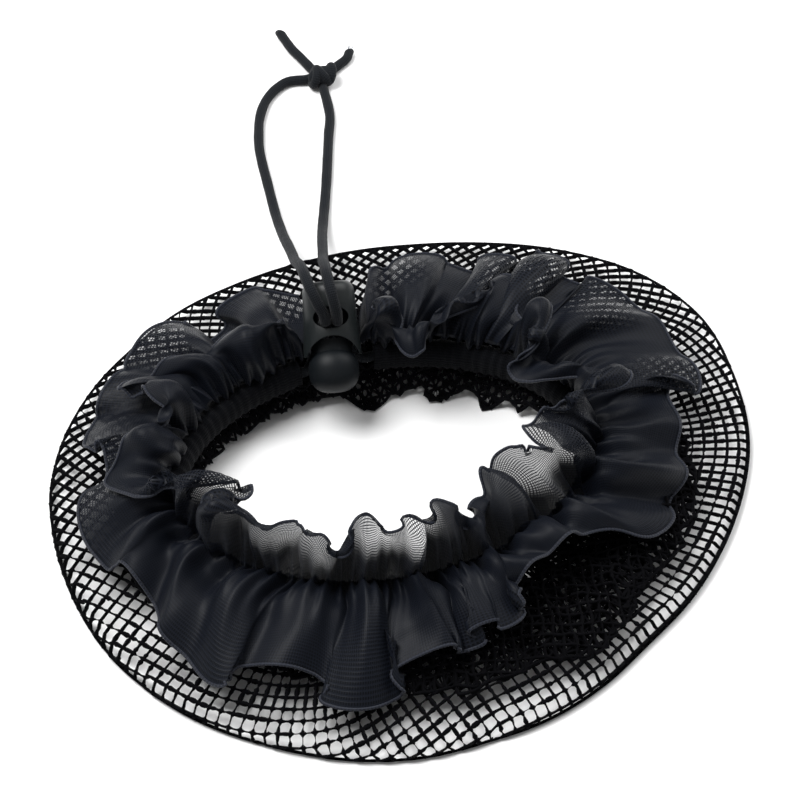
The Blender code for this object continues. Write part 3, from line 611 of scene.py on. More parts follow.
# cord lock
def ovalStack(rings, sides):
    bm = bmesh.new()
    ringVerts = bmesh.ops.create_circle(bm, cap_ends=True, segments=sides, radius=0.5)["verts"]
    edges = bm.edges[:]
    height, width, depth = rings[0]
    bmesh.ops.scale(bm, verts=ringVerts, vec=(width, depth, 1.0))
    bmesh.ops.translate(bm, verts=ringVerts, vec=(0.0, 0.0, height))
    for nextHeight, nextWidth, nextDepth in rings[1:]:
        ringVerts, edges, _ = extrudeRing(bm, edges)
        bmesh.ops.scale(bm, verts=ringVerts, vec=(nextWidth / width, nextDepth / depth, 1.0))
        bmesh.ops.translate(bm, verts=ringVerts, vec=(0.0, 0.0, nextHeight - height))
        height, width, depth = nextHeight, nextWidth, nextDepth
    bmesh.ops.contextual_create(bm, geom=edges)
    bmesh.ops.recalc_face_normals(bm, faces=bm.faces)
    return bm


def throughHole(width, length, middle):
    depth = lock["barrelDepth"]
    bm = ovalStack([(-depth, width, length), (depth, width, length)], lock["sides"])
    bmesh.ops.rotate(bm, verts=bm.verts, matrix=Matrix.Rotation(math.radians(90.0), 3, "X"))
    bmesh.ops.translate(bm, verts=bm.verts, vec=(0.0, 0.0, middle))
    return bm


def shapeWith(name, bm, material, others, edge):
    # cut or join the others, round the sharp edges, then set it on the lock
    piece = addPiece(name, bm, material)
    helpers = []
    for index, (otherBm, operation) in enumerate(others):
        helper = addPiece(name + "Helper" + str(index), otherBm, material)
        boolean = piece.modifiers.new("shape" + str(index), "BOOLEAN")
        boolean.operation, boolean.object, boolean.solver = operation, helper, "EXACT"
        helpers.append(helper)
    bevel = piece.modifiers.new("edges", "BEVEL")
    bevel.width, bevel.segments, bevel.limit_method = edge, lock["edgeSteps"], "ANGLE"
    bevel.angle_limit, bevel.use_clamp_overlap = math.radians(lock["edgeAngle"]), True
    applyModifiers(piece)
    for helper in helpers:
        bpy.data.objects.remove(helper, do_unlink=True)
    place = Matrix.Translation(Vector(lock["hole"]) * mm) @ lockTurn.to_4x4()
    piece.data.transform(place @ Matrix.Diagonal((mm, mm, mm, 1.0)))
    for face in piece.data.polygons:
        face.use_smooth = True
    piece.data.set_sharp_from_angle(angle=math.radians(lock["sharpAngle"]))
    return piece


def makeLock():
    length = lock["above"] + lock["below"]
    rings = [(along * length - lock["below"], width * lock["barrelWidth"],
              depth * lock["barrelDepth"]) for along, width, depth in lock["sections"]]
    boreTop = cord["diameter"] / 2 + 2 * lock["clear"] + lock["stemTip"] + lock["travel"]
    boreWidth = lock["stemWidth"] + 2 * lock["clear"]
    boreDepth = lock["stemDepth"] + 2 * lock["clear"]
    arch = lock["buttonWidth"] + 2 * lock["archClear"]
    barrel = shapeWith("lockBarrel", ovalStack(rings, lock["sides"]), finish["barrelPlastic"], (
        (ovalStack([(-lock["below"] - lock["boreBelow"], boreWidth, boreDepth),
                    (boreTop, boreWidth, boreDepth)], lock["sides"]), "DIFFERENCE"),
        (throughHole(arch, arch, -lock["archTop"] - arch / 2), "DIFFERENCE"),
        (throughHole(lock["holeWidth"], lock["holeLength"], 0.0), "DIFFERENCE")), lock["edge"])
    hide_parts("cord_lock_barrel")
    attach(barrel, "hairnet")

    ball = bmesh.new()
    bmesh.ops.create_uvsphere(ball, u_segments=lock["ballSides"], v_segments=lock["ballRings"],
                              radius=0.5)
    for v in ball.verts:
        # fuller shoulders than a ball's, most of all below
        full = lock["topFullness"] if v.co.z > 0 else lock["lowFullness"]
        across = math.hypot(v.co.x, v.co.y) * 2
        v.co *= (across**full + abs(v.co.z * 2)**full)**(-1 / full)
    bmesh.ops.scale(ball, verts=ball.verts, vec=(lock["buttonWidth"], lock["buttonDepth"],
                                                 lock["buttonLength"]))
    bmesh.ops.translate(ball, verts=ball.verts, vec=(0.0, 0.0, -lock["buttonDrop"]))
    slotTop = cord["diameter"] / 2 + lock["clear"]
    slotLow = -slotTop - lock["travel"] - cord["holeDrop"]
    slot = bmesh.new()
    bmesh.ops.create_cube(slot, size=1.0)
    bmesh.ops.scale(slot, verts=slot.verts, vec=(
        2 * cord["lane"] + cord["diameter"] + 2 * lock["clear"], 2 * lock["stemDepth"],
        slotTop - slotLow))
    bmesh.ops.translate(slot, verts=slot.verts, vec=(0.0, 0.0, (slotTop + slotLow) / 2))
    stem = ovalStack([(-lock["buttonDrop"], lock["stemWidth"], lock["stemDepth"]),
                      (slotTop + lock["stemTip"], lock["stemWidth"], lock["stemDepth"])],
                     lock["stemSides"])
    button = shapeWith("lockButton", ball, finish["buttonPlastic"],
                       ((stem, "UNION"), (slot, "DIFFERENCE")), lock["buttonEdge"])
    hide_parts("cord_lock_button")
    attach(button, "button")


makeLock()
print("cord lock made")

# net: a square mesh drawn round the ring, cut to the rim
netting = {
    "pitch": 3.2, "strand": 1.4, "knot": 2.15, "pleatKnot": 1.75, "cuts": 2, "steps": 1440,
    # how far it reaches in from the rim in mm, and past it in squares; spare rows; welding
    "inward": 54.0, "past": 1.9, "spareRows": 3, "weld": 0.3,
    # at the casing: how far it runs on, how quickly it falls there, share for each mm
    "heading": 4.0, "headingFall": 0.12,
    # at the rim: how far it is set in, strand and welding of the edge, squares kept past it,
    # the roll, how far the near side is tucked and the far side ends short
    "inset": 1.5, "edge": 0.45, "edgeWeld": 0.9, "spare": 1.5, "rollRadius": 1.3,
    "tuck": 1.6, "short": 0.5, "nearTurn": 0.9, "lowest": 0.6, "edgeLowest": 0.55,
    "wobble": 0.32, "wobbleScale": 0.06, "ripple": 0.5, "rippleScale": 0.07,
    # angle, and how far the squares are turned there from the rim's own direction
    "turns": ((-60.0, 0.0), (-30.0, 0.0), (0.0, 0.0), (22.0, 10.0), (52.0, 38.0), (75.0, 45.0),
              (110.0, 45.0), (150.0, 45.0), (192.0, 45.0), (226.0, 8.0), (246.0, 6.0),
              (268.0, 30.0), (276.0, 31.0), (300.0, 0.0)),
    # how far in mm the net's edge lies outside the plain oval, every 12 degrees from -180
    "bulge": tuple((12 * k - 180, out) for k, out in enumerate((
        1.0, -1.5, -2.9, -3.1, -2.9, -2.3, -1.6, -0.1, 0.6, -0.1, -0.2, -1.5, -3.3, -3.0, -2.6,
        -1.5, 0.7, 2.8, 6.3, 6.3, 3.6, 0.9, -0.4, 0.1, 0.8, 2.0, 3.3, 3.0, 3.1, 2.4, 1.0))),
}
# crumpled net by the casing: angle, share of the way out to the rim that it fills
crumple = ((-75.0, 0.70), (-60.0, 0.68), (-47.0, 0.80), (-38.0, 0.78), (-26.0, 0.67),
           (-8.0, 0.70), (4.0, 0.62), (20.0, 0.50), (60.0, 0.44), (97.0, 0.46), (113.0, 0.46),
           (150.0, 0.44), (200.0, 0.48), (240.0, 0.52), (262.0, 0.58), (275.0, 0.62),
           (285.0, 0.68))
# how all its layers lie, lengths in mm
crumpled = {"ragged": 0.035, "raggedScale": 0.09, "inside": 3.0, "base": 0.9, "fade": 5.0,
            "pleats": 46, "pleatReach": 1.2, "roughScale": 0.17, "slide": 1.1,
            "slideScale": 0.21, "sheet": 250.0, "ringFrom": 25.0, "ringTo": 112.0}
layers = (
    {"name": "netPleatLow", "pitch": 2.9, "turn": 24.0, "lift": 0.9, "rough": 0.9},
    {"name": "netPleatMiddle", "pitch": 2.5, "turn": 51.0, "lift": 1.9, "rough": 1.1},
    {"name": "netPleatHigh", "pitch": 2.6, "turn": 8.0, "lift": 2.9, "rough": 1.2},
)
# net that hangs inside the casing: angle, how far it hangs in mm
scraps = ((-180.0, 4.0), (-90.0, 3.4), (0.0, 4.0), (30.0, 4.0), (36.0, 4.5), (40.0, 7.5),
          (44.0, 4.5), (49.0, 8.5), (56.0, 5.0), (62.0, 6.0), (68.0, 10.0), (75.0, 5.5),
          (84.0, 6.0), (90.0, 7.0), (98.0, 10.5), (106.0, 6.0), (120.0, 4.5), (180.0, 4.0))
hanging = {"over": 1.5, "least": 0.10, "fall": 8.0, "ripple": 0.7, "rippleScale": 0.3,
           "lowest": 0.7, "meshes": (("A", 2.2, 15.0), ("B", 2.0, 47.0), ("C", 2.3, 70.0))}


def flatMesh(pitch, turn):
    # a plain square mesh, in mm
    count = int(crumpled["sheet"] / pitch)
    bm = bmesh.new()
    bm.verts.layers.deform.verify()
    bmesh.ops.create_grid(bm, x_segments=count, y_segments=count, size=count * pitch / 2)
    bmesh.ops.rotate(bm, verts=bm.verts, matrix=Matrix.Rotation(math.radians(turn), 3, "Z"))
    bmesh.ops.delete(bm, geom=[v for v in bm.verts if not
                               crumpled["ringFrom"] < v.co.length < crumpled["ringTo"]],
                     context="VERTS")
    return bm


def netReach(angle):
    # from the casing's centre to the net's own edge, in mm
    bulge = readTable(netting["bulge"], 1, (angle + 180.0) % 360.0 - 180.0)
    return rimReach(angle) + bulge - netting["inset"]


def ringMesh(values):
    # a square mesh that follows the rim, with whole squares all the way round
    pitch, steps = values["pitch"], values["steps"]
    angles = [values["turns"][0][0] + 360.0 * k / steps for k in range(steps + 1)]
    turned = [math.radians(readTable(values["turns"], 1, angle)) for angle in angles]
    rim = [casingPoint(angle, netReach(angle) - casingRadius(angle)) / mm for angle in angles]
    rise, run = [0.0], [0.0]
    for k in range(steps):
        length = (rim[k + 1] - rim[k]).length
        rise.append(rise[-1] + math.sin(turned[k]) * length)
        run.append(run[-1] + math.cos(turned[k]) * length)
    climb, columns = round(rise[-1] / pitch), round(run[-1] / pitch)
    rise = [length * climb / rise[-1] for length in rise]
    run = [length * columns / run[-1] for length in run]
    low, high = -climb - values["spareRows"], int(values["inward"] / pitch)
    spots = {}
    for row in range(low, high + 1):
        before = None
        for angle, turn, up, along in zip(angles, turned, rise, run):
            inward = (row + up) / math.cos(turn)
            here = (along + math.sin(turn) * inward, angle, inward)
            if before:
                for column in range(math.ceil(before[0] - 1e-6), math.floor(here[0] + 1e-6) + 1):
                    share = (column - before[0]) / (here[0] - before[0])
                    spots[row, column] = [a + (b - a) * share for a, b in zip(before, here)][1:]
            before = here
    bm = bmesh.new()
    bm.verts.layers.deform.verify()
    bmesh.ops.create_grid(bm, x_segments=columns, y_segments=high - low, size=0.5)
    gone = []
    for v in bm.verts:
        spot = spots.get((low + round((v.co.y + 0.5) * (high - low)),
                          round((v.co.x + 0.5) * columns)))
        if spot is None or not -values["past"] < spot[1] < values["inward"] / pitch:
            gone.append(v)
            continue
        angle, inward = spot
        v.co = casingPoint(angle, netReach(angle) - casingRadius(angle) - inward * pitch) / mm
    bmesh.ops.delete(bm, geom=gone, context="VERTS")
    bmesh.ops.remove_doubles(bm, verts=bm.verts, dist=values["weld"])
    return bm


def layMesh(bm, keep, place, drawn=None):
    # the mesh, kept where keep says so and set in place by place; edges that drawn picks
    # out are drawn together into one strand
    group = bm.verts.layers.deform.verify()
    gone = [v for v in bm.verts if not keep(v.co, *netPlace(v.co.x, v.co.y))]
    bmesh.ops.delete(bm, geom=gone, context="VERTS")
    joints = set(bm.verts)
    bmesh.ops.subdivide_edges(bm, edges=bm.edges[:], cuts=netting["cuts"])
    edge = [v for v in bm.verts if drawn and drawn(v.co)]
    for v in bm.verts:
        v[group][0] = 1.0 if v in joints else netting["strand"] / netting["knot"]
        v.co = place(v.co, *netPlace(v.co.x, v.co.y)) * mm
    for v in edge:
        v[group][0] = netting["edge"]
    if edge:
        bmesh.ops.remove_doubles(bm, verts=edge, dist=netting["edgeWeld"] * mm)
    return bm


def addStrands(name, bm, thickness):
    piece = addPiece(name, bm, finish["netYarn"])
    piece.vertex_groups.new(name="thickness")
    wire = piece.modifiers.new("strands", "WIREFRAME")
    wire.thickness = thickness * mm
    wire.offset = 0.0
    wire.use_even_offset = False
    wire.use_replace = True
    wire.use_boundary = True
    wire.vertex_group = "thickness"
    applyModifiers(piece)
    for face in piece.data.polygons:
        face.use_smooth = True
    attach(piece, "hairnet")
    print(name, len(piece.data.polygons), "faces")
    return piece


def tuckAt(angle):
    # the net turns under on the near side only; on the far side it ends at the rim
    near = clamp(0.5 - netting["nearTurn"] * math.sin(math.radians(angle)))
    return netting["tuck"] * near - netting["short"] * (1.0 - near)


def pastEdge(co):
    angle, _, outward = netPlace(co.x, co.y)
    return outward + casingRadius(angle) > netReach(angle) + tuckAt(angle)


def netKeep(co, angle, share, outward):
    reach = netReach(angle) + tuckAt(angle) + netting["spare"] * netting["pitch"]
    return outward > -netting["heading"] and outward + casingRadius(angle) < reach


def netSpot(co, angle, share, outward):
    inner, edge, roll = casingRadius(angle), netReach(angle), netting["rollRadius"]
    low = netHeight(1.0) - roll
    # what reaches past the edge is drawn in to it, so that the edge is one clean line
    turned = (min(outward + inner, edge + tuckAt(angle)) - (edge - roll)) / roll
    if turned <= 0.0:
        fall = 1 + outward * netting["headingFall"]
        height = netHeight(share) if outward > 0 else ring["netCrest"] * fall
        scale = netting["rippleScale"]
        height += netting["ripple"] * noise.noise(Vector((co.x * scale, co.y * scale, 2.0)))
        shift = noiseShift(co, netting["wobbleScale"], (9, 4, 0)) * netting["wobble"]
        return Vector((co.x, co.y, max(netting["lowest"], height))) + shift
    arc = min(turned, math.pi / 2)
    height = low + roll * math.cos(arc) - roll * (turned - arc)  # then straight down
    spot = casingPoint(angle, edge - roll + roll * math.sin(arc) - inner) / mm
    return Vector((spot.x, spot.y, max(netting["edgeLowest"], height)))


net = addStrands("netMesh", layMesh(ringMesh(netting), netKeep, netSpot, pastEdge),
                 netting["knot"])
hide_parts("net")


def crumpleReach(angle):
    return readTable(crumple, 1, angle if angle > crumple[0][0] else angle + 360.0)


def addLayer(layer, values):
    pitch, turn = layer["pitch"], layer["turn"]

    def layerKeep(co, angle, share, outward):
        uneven = noise.noise(co * values["raggedScale"] + Vector((turn, 0, 0)))
        reach = crumpleReach(angle) + values["ragged"] * uneven
        return -values["inside"] < outward and share < reach

    def layerSpot(co, angle, share, outward):
        pleat = (math.sin(math.radians(angle) * values["pleats"] + turn)
                 * max(0.0, 1 - share * values["pleatReach"]))
        rough = noise.noise(co * values["roughScale"] + Vector((0, turn, 0))) * layer["rough"]
        edge = clamp((crumpleReach(angle) - share) * values["fade"])
        height = netHeight(share) + values["base"] + (layer["lift"] + rough + pleat) * edge
        slide = noiseShift(co, values["slideScale"], (5, 5, 1)) * values["slide"]
        return Vector((co.x, co.y, height)) + slide

    addStrands(layer["name"], layMesh(flatMesh(pitch, turn), layerKeep, layerSpot),
               netting["pleatKnot"])


for layer in layers:
    addLayer(layer, crumpled)


def scrapKeep(co, angle, share, outward):
    return -readTable(scraps, 1, angle) < outward < hanging["over"]


def scrapSpot(co, angle, share, outward):
    fall = max(hanging["least"], 1.0 - max(0.0, -outward) / hanging["fall"])
    height = (ring["netCrest"] * fall
              + hanging["ripple"] * noise.noise(co * hanging["rippleScale"]))
    return Vector((co.x, co.y, max(hanging["lowest"], height)))


for letter, pitch, turn in hanging["meshes"]:
    addStrands("netHeading" + letter, layMesh(flatMesh(pitch, turn), scrapKeep, scrapSpot),
               netting["pleatKnot"])
print("net made")

# casing: a gathered tube over the drawcord
casing = {"width": 6.6, "height": 9.0, "steps": 900, "sides": 28, "gathers": 104, "depth": 0.42,
          "uneven": 1.6, "unevenScale": 60, "clothLength": 0.5, "clothRound": 0.026}


def makeCasing(values):
    first, span = ring["lockRoot"] + exitTurn, 360.0 - 2 * exitTurn
    bm = bmesh.new()
    uv = bm.loops.layers.uv.verify()
    bmesh.ops.create_grid(bm, x_segments=values["steps"], y_segments=values["sides"], size=0.5)
    told = {}
    for v in bm.verts:
        along, around = v.co.x + 0.5, v.co.y + 0.5
        told[v] = (along * values["clothLength"], around * values["clothRound"])
        angle = first + span * along
        a = 2 * math.pi * around
        uneven = noise.noise(Vector((along * values["unevenScale"], 0, 0)))
        ridge = math.sin(2 * math.pi * values["gathers"] * along + values["uneven"] * uneven)
        size = 1.0 + ridge * values["depth"] / values["height"]
        step = casingPoint(angle + 0.5) - casingPoint(angle - 0.5)
        side = Vector((step.y, -step.x, 0.0)).normalized()
        v.co = (casingPoint(angle, 0.0, ring["casingMiddle"]
                            + math.sin(a) * values["height"] / 2 * size)
                + side * math.cos(a) * values["width"] / 2 * size * mm)
    setUv(bm, uv, told)
    bmesh.ops.remove_doubles(bm, verts=bm.verts, dist=1e-6)
    bmesh.ops.recalc_face_normals(bm, faces=bm.faces)
    tube = addPiece("casingTube", bm, finish["casingCloth"])
    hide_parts("casing")
    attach(tube, "hairnet")


makeCasing(casing)
print("casing made")

# ruffle: one strip, inner and outer frill. root, edge (degrees), reach, rise, swell
outerFolds = (
    (119.5, 108, 0.68, -0.02, 0.1), (124, 117, 0.78, 0.02, 0.2), (130, 127, 0.85, 0.0, 0.36),
    (137, 135, 0.72, -0.12, 0.18), (143, 140, 0.9, 0.03, 0.36), (151, 150, 0.95, -0.04, 0.36),
    (160, 160, 0.87, -0.1, 0.18), (169, 171, 0.85, -0.16, 0.36), (179, 179, 0.56, -0.06, 0.18),
    (190, 192, 0.7, -0.19, 0.36), (200, 202, 0.68, -0.19, 0.36), (208, 209, 0.52, -0.1, 0.18),
    (217, 218, 0.62, -0.17, 0.18), (227, 230, 0.8, -0.2, 0.36), (236, 238, 0.92, -0.24, 0.36),
    (244, 243, 0.76, -0.12, 0.18), (252, 253, 0.7, -0.16, 0.18), (259, 261, 0.91, -0.26, 0.36),
    (268, 271, 0.87, -0.26, 0.36), (275, 274, 0.7, -0.11, 0.18), (282, 283, 0.62, -0.06, 0.18),
    (289, 290, 0.68, -0.08, 0.36), (295, 294, 0.56, 0.02, 0.18), (301, 301, 0.65, 0.02, 0.36),
    (308, 307, 0.42, 0.16, 0.18), (318, 318, 0.35, 0.24, 0.18), (330, 331, 0.36, 0.14, 0.18),
    (340, 343, 0.68, -0.14, 0.36), (352, 354, 0.7, -0.16, 0.36), (366, 368, 0.66, -0.1, 0.18),
    (374, 376, 0.72, -0.04, 0.18), (381, 380, 1.0, -0.14, 0.36), (388, 388, 1.04, -0.1, 0.28),
    (396, 396, 1.08, -0.06, 0.28), (404, 405, 1.08, 0.08, 0.36), (410, 410, 0.86, 0.04, 0.18),
    (416, 417, 1.1, 0.14, 0.36), (422, 421, 0.96, 0.02, 0.18), (428, 427, 0.98, 0.03, 0.36),
    (435, 433, 0.88, -0.06, 0.18), (443, 442, 0.95, 0.02, 0.36), (453, 452, 0.92, -0.02, 0.24),
    (460.5, 458, 0.66, -0.01, 0.1),
)
innerFolds = (
    (119.5, 119, 0.45, 0.08, 0.1), (123, 123, 0.3, 0.34, 0.36), (128, 128, 0.24, 0.52, 0.72),
    (138, 138, 0.26, 0.46, 0.6), (147, 148, 0.55, 0.38, 0.6), (157, 158, 0.8, 0.33, 0.6),
    (164, 164, 1.02, 0.24, 0.46), (169, 168, 0.6, 0.46, 0.72), (175, 174, 0.25, 0.53, 0.72),
    (182, 183, 0.5, 0.36, 0.6), (189, 189, 0.84, 0.16, 0.46), (195, 195, 0.5, 0.3, 0.46),
    (200, 200, 0.0, 0.52, 0.72), (205, 204, -0.6, 0.5, 0.72), (210, 209, -0.76, 0.36, 0.46),
    (216, 215, -0.12, 0.68, 0.72), (226, 227, -0.18, 0.7, 0.72), (236, 236, -0.25, 0.63, 0.46),
    (244, 244, -0.27, 0.7, 0.72), (252, 253, -0.08, 0.48, 0.46), (259, 259, -0.24, 0.76, 0.72),
    (268, 268, -0.28, 0.78, 0.72), (276, 275, -0.18, 0.68, 0.46), (285, 285, -0.25, 0.76, 0.72),
    (293, 293, -0.4, 0.78, 0.6), (300, 300, -0.34, 0.77, 0.72), (307, 306, -0.22, 0.54, 0.46),
    (317, 316, -0.5, 0.62, 0.72), (328, 331, -0.82, 0.6, 0.6), (338, 341, -0.82, 0.61, 0.46),
    (347, 346, -0.5, 0.72, 0.72), (356, 358, -0.84, 0.52, 0.46), (364, 365, -0.78, 0.52, 0.46),
    (370, 369, -0.3, 0.64, 0.72), (376, 374, 0.4, 0.58, 0.6), (381, 379, 0.0, 0.5, 0.72),
    (387, 389, -0.62, 0.36, 0.46), (393, 395, -0.56, 0.32, 0.46), (399, 398, -0.2, 0.6, 0.72),
    (405, 402, 0.42, 0.68, 0.72), (411, 406, 0.3, 0.52, 0.46), (416, 412, 0.4, 0.42, 0.46),
    (421, 418, 0.9, 0.38, 0.46), (427, 423, 0.4, 0.44, 0.72), (433, 430, -0.3, 0.38, 0.72),
    (440, 437, -0.54, 0.24, 0.46), (447, 444, -0.36, 0.32, 0.46), (454, 451, 0.1, 0.46, 0.72),
    (458, 454, 0.45, 0.3, 0.3), (460.5, 457, 0.55, 0.08, 0.1),
)
# where one thin layer shows: root in degrees, how thin
sheerPlaces = {
    "inner": ((119.5, 0.0), (150, 0.0), (190, 0.05), (198, 0.9), (207, 0.95), (212, 0.2),
              (224, 0.15), (232, 0.3), (240, 0.5), (249, 0.42), (254, 0.1), (259, 0.35),
              (266, 0.9), (272, 1.0), (276, 0.5), (281, 0.95), (288, 0.8), (293, 0.1),
              (325, 0.12), (334, 0.7), (343, 1.0), (355, 1.0), (361, 0.35), (366, 0.75),
              (373, 0.25), (385, 0.0), (460.5, 0.0)),
    "outer": ((119.5, 0.6), (123, 0.5), (128, 0.05), (141, 0.1), (145, 0.6), (151, 0.6),
              (155, 0.1), (170, 0.1), (179, 0.4), (187, 0.45), (193, 0.05), (230, 0.0),
              (260, 0.0), (300, 0.0), (374, 0.0), (378, 0.4), (383, 0.5), (387, 0.0),
              (396, 0.1), (399, 0.7), (403, 0.6),
              (406, 0.0), (412, 0.1), (415, 0.8), (419, 0.7), (421, 0.1), (424, 0.7), (428, 0.5),
              (431, 0.0), (442, 0.1), (446, 0.7), (451, 0.5), (455, 0.1), (460.5, 0.1)),
}
ruffle = {
    # width, swell between crest and hollow, share of curl, rows of faces, flat cut in mm,
    # and the share of the width from which the frill can be sheer
    "inner": {"folds": innerFolds, "width": 21.0, "middle": 0.59, "curl": 0.35, "bands": 18,
              "cut": 22.3, "sheerFrom": 0.26},
    "outer": {"folds": outerFolds, "width": 34.0, "middle": 0.27, "curl": 1.0, "bands": 26,
              "cut": 29.9, "sheerFrom": 0.5},
    "hemCut": 682.0,  # flat length of the longer hem; like the cuts, measured when finished
    "columns": 1300, "bend": 0.30, "overNet": 1.6, "hem": 0.42, "hemSpacing": 0.9, "hemSides": 8,
    "curl": 9.0, "curlSwell": 0.09, "mostCurl": 5.0, "slopeStep": 0.5,
    "calm": 8.0,      # degrees by the cord lock in which folds and gathers fade
    "folds": 23, "foldDepth": 4.6, "foldLevel": 0.75, "foldUneven": 0.9, "foldScale": 26,
    "foldBend": 3.2, "bendScale": 20, "bendAcross": 1.3, "rootShare": 0.35, "rootReach": 0.28,
    "hemLess": 0.42, "gathers": 92, "gatherDepth": 1.25, "gatherFade": 2.2,
    "crinkle": 1.2, "crinkleScale": 62, "crinkleAcross": 1.6, "crinkleFade": 1.25,
    "sheerRise": 0.25, "patch": 0.2, "patchScale": 0.09, "patchAcross": 2.0,
}


def frillPoint(frill, root, across):
    tables, step, most = frill["folds"], ruffle["slopeStep"], ruffle["mostCurl"]
    edge, reach, rise, swell = (readTable(tables, column, root) for column in range(1, 5))
    # the slopes of a fold are pushed under its crest, so that the fold stands as a loop
    slope = (readTable(tables, 4, root + step) - readTable(tables, 4, root - step)) / (2 * step)
    curl = -(swell - frill["middle"]) * slope / ruffle["curlSwell"]**2 * ruffle["curl"]
    edge += clamp(curl * frill["curl"], -most, most) * across
    width = frill["width"]
    start = casingPoint(root, 0.0, ring["gatherHeight"])
    end = casingPoint(edge, reach * width, ring["gatherHeight"] + rise * width)
    bend = start.lerp(end, ruffle["bend"])
    bend.z = (ring["gatherHeight"] + (swell + 0.5 * rise) * width) * mm
    rest = 1.0 - across
    return start * rest * rest + bend * 2 * rest * across + end * across * across


def gatherDepth(values, root, across):
    # how far the cloth stands off its smooth shape: broad folds, with fine gathers at the root
    first, last = outerFolds[0][0], outerFolds[-1][0]
    calm = clamp(min((root - first) / values["calm"], (last - root) / values["calm"]))
    u = (root - first) / (last - first)
    uneven = noise.noise(Vector((u * values["foldScale"], 2.0, 0)))
    bend = values["foldBend"] * noise.noise(Vector((
        u * values["bendScale"], across * values["bendAcross"], 0)))
    fold = (math.sin(2 * math.pi * values["folds"] * u + bend)
            * (values["foldLevel"] + values["foldUneven"] * uneven))
    least = values["rootShare"]
    fold *= ((least + (1.0 - least) * min(1.0, across / values["rootReach"]))
             * (1.0 - values["hemLess"] * across))
    fine = (math.sin(2 * math.pi * values["gathers"] * u + 2.0 * bend)
            * (1 - across)**values["gatherFade"])
    crinkle = 2 * noise.noise(Vector((
        u * values["crinkleScale"], across * values["crinkleAcross"], 1.0)))
    crinkle *= across * (values["crinkleFade"] - across)
    return (fold * values["foldDepth"] + fine * values["gatherDepth"]
            + crinkle * values["crinkle"]) * calm * mm


def fullnessAt(values, side, root, across):
    # 0 where one thin layer shows, 1 where folds lie behind one another
    patch = values["patch"] * noise.noise(Vector((
        root * values["patchScale"], across * values["patchAcross"], 5.0)))
    thin = readTable(sheerPlaces[side], 1, root)
    rise = clamp((across - values[side]["sheerFrom"]) / values["sheerRise"])
    return clamp(1.0 - thin * rise + patch * thin)


def overNet(point):
    _, share, outward = netPlace(point.x / mm, point.y / mm)
    if outward > 0:
        point.z = max(point.z, (netHeight(share) + ruffle["overNet"]) * mm)


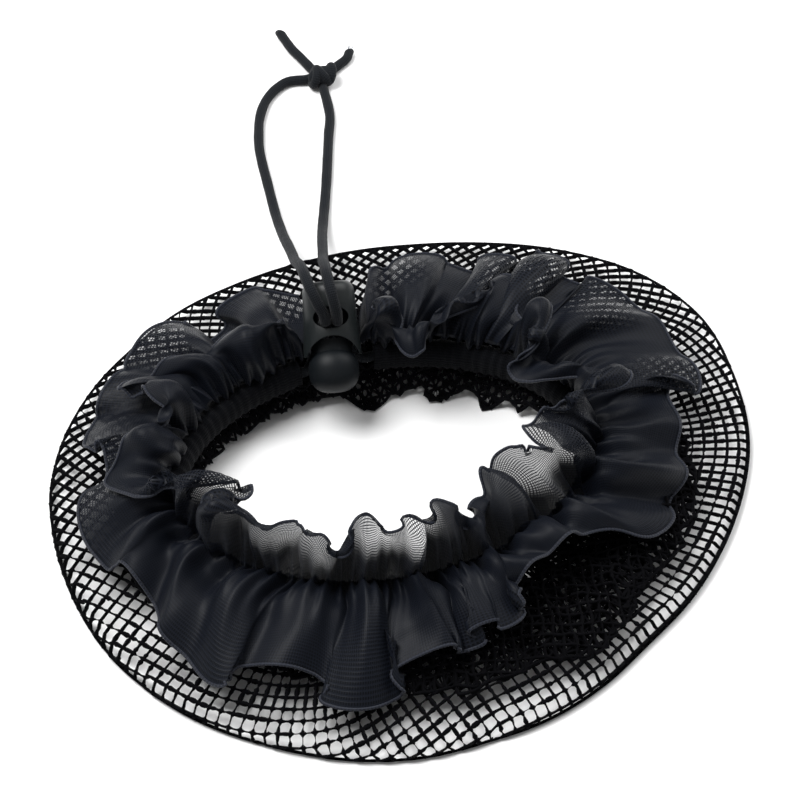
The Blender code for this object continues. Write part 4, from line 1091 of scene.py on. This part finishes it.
def makeRuffle(values):
    bands = values["inner"]["bands"] + values["outer"]["bands"]
    first, last = outerFolds[0][0], outerFolds[-1][0]
    bm = bmesh.new()
    uv = bm.loops.layers.uv.verify()
    full = bm.verts.layers.float.new("fullness")
    bmesh.ops.create_grid(bm, x_segments=values["columns"], y_segments=bands, size=0.5)
    told, places, edges = {}, {}, {"outer": [], "inner": []}
    for v in bm.verts:
        root = first + (v.co.x + 0.5) * (last - first)
        band = (v.co.y + 0.5) * bands - values["inner"]["bands"]
        along = (v.co.x + 0.5) * values["hemCut"] * mm
        side, sign = ("inner", -1) if band < -1e-4 else ("outer", 1)
        frill = values[side]
        across = sign * band / frill["bands"]
        v.co = frillPoint(frill, root, across)
        told[v] = (along, sign * across * frill["cut"] * mm)
        places[v] = (side, root, across)
    bm.normal_update()
    stand = {v: v.normal.copy() for v in bm.verts}
    for v, (side, root, across) in places.items():
        v.co += stand[v] * gatherDepth(values, root, across)
        overNet(v.co)
        v[full] = fullnessAt(values, side, root, across)
        if across > 0.999:
            edges[side].append((told[v][0], v.co.copy()))
    setUv(bm, uv, told)
    area = sum(face.calc_area() for face in bm.faces)
    wide = {"inner": 0.0, "outer": 0.0}
    for edge in bm.edges:
        ends = [told[v] for v in edge.verts]
        if abs(ends[0][0] - ends[1][0]) < 1e-7:
            wide["outer" if ends[0][1] + ends[1][1] > 0 else "inner"] += edge.calc_length()
    print("ruffle mean width from hem to gather line, mm:",
          {side: round(length / (values["columns"] + 1) / mm, 1) for side, length in wide.items()})
    strip = addPiece("ruffleStrip", bm, finish["organza"])
    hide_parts("ruffle")
    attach(strip, "hairnet")
    for side, found in edges.items():
        route = [point for _, point in sorted(found, key=lambda pair: pair[0])]
        length = routeLength(route)
        print("ruffle", side, "edge", round(length / mm), "mm")
        hemBm = bmesh.new()
        sweepTube(hemBm, evenRoute(route[::2], values["hemSpacing"] * mm),
                  lambda length: values["hem"] * mm, values["hemSides"])
        hem = addPiece("ruffleHem" + side.capitalize(), hemBm, finish["hemCloth"])
        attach(hem, "hairnet")
    print("ruffle area", round(area * 1e4, 1), "cm2")


makeRuffle(ruffle)
print("ruffle made")


# floor and light
studio = {"floorHalf": 3.0, "paper": 0.93, "rough": 0.9, "shine": 0.1, "sky": 0.34,
          # name, place in metres, size in metres, power in watts
          "lamps": (("keyLight", (-0.45, 0.1, 0.95), 0.6, 14.0),
                    ("fillLight", (0.6, 0.45, 0.8), 0.8, 7.0))}


def makeStudio(values):
    bm = bmesh.new()
    bmesh.ops.create_grid(bm, x_segments=1, y_segments=1, size=values["floorHalf"])
    paper = bpy.data.materials.new("paper")
    paper.use_nodes = True
    setInputs(paper.node_tree.nodes["Principled BSDF"], {
        "Base Color": (*[values["paper"]] * 3, 1.0), "Roughness": values["rough"],
        "Specular IOR Level": values["shine"]})
    floor = addPiece("floor", bm, paper)
    world = bpy.data.worlds.new("studio")
    scene.world = world
    world.use_nodes = True
    setInputs(world.node_tree.nodes["Background"],
              {"Color": (1.0, 1.0, 1.0, 1.0), "Strength": values["sky"]})
    for name, place, size, power in values["lamps"]:
        data = bpy.data.lights.new(name, "AREA")
        data.size, data.energy = size, power
        lamp = addObject(name, data)
        lamp.location = place
        lamp.rotation_euler = Vector(place).to_track_quat("Z", "Y").to_euler()
    scene.view_settings.view_transform = "Standard"


makeStudio(studio)
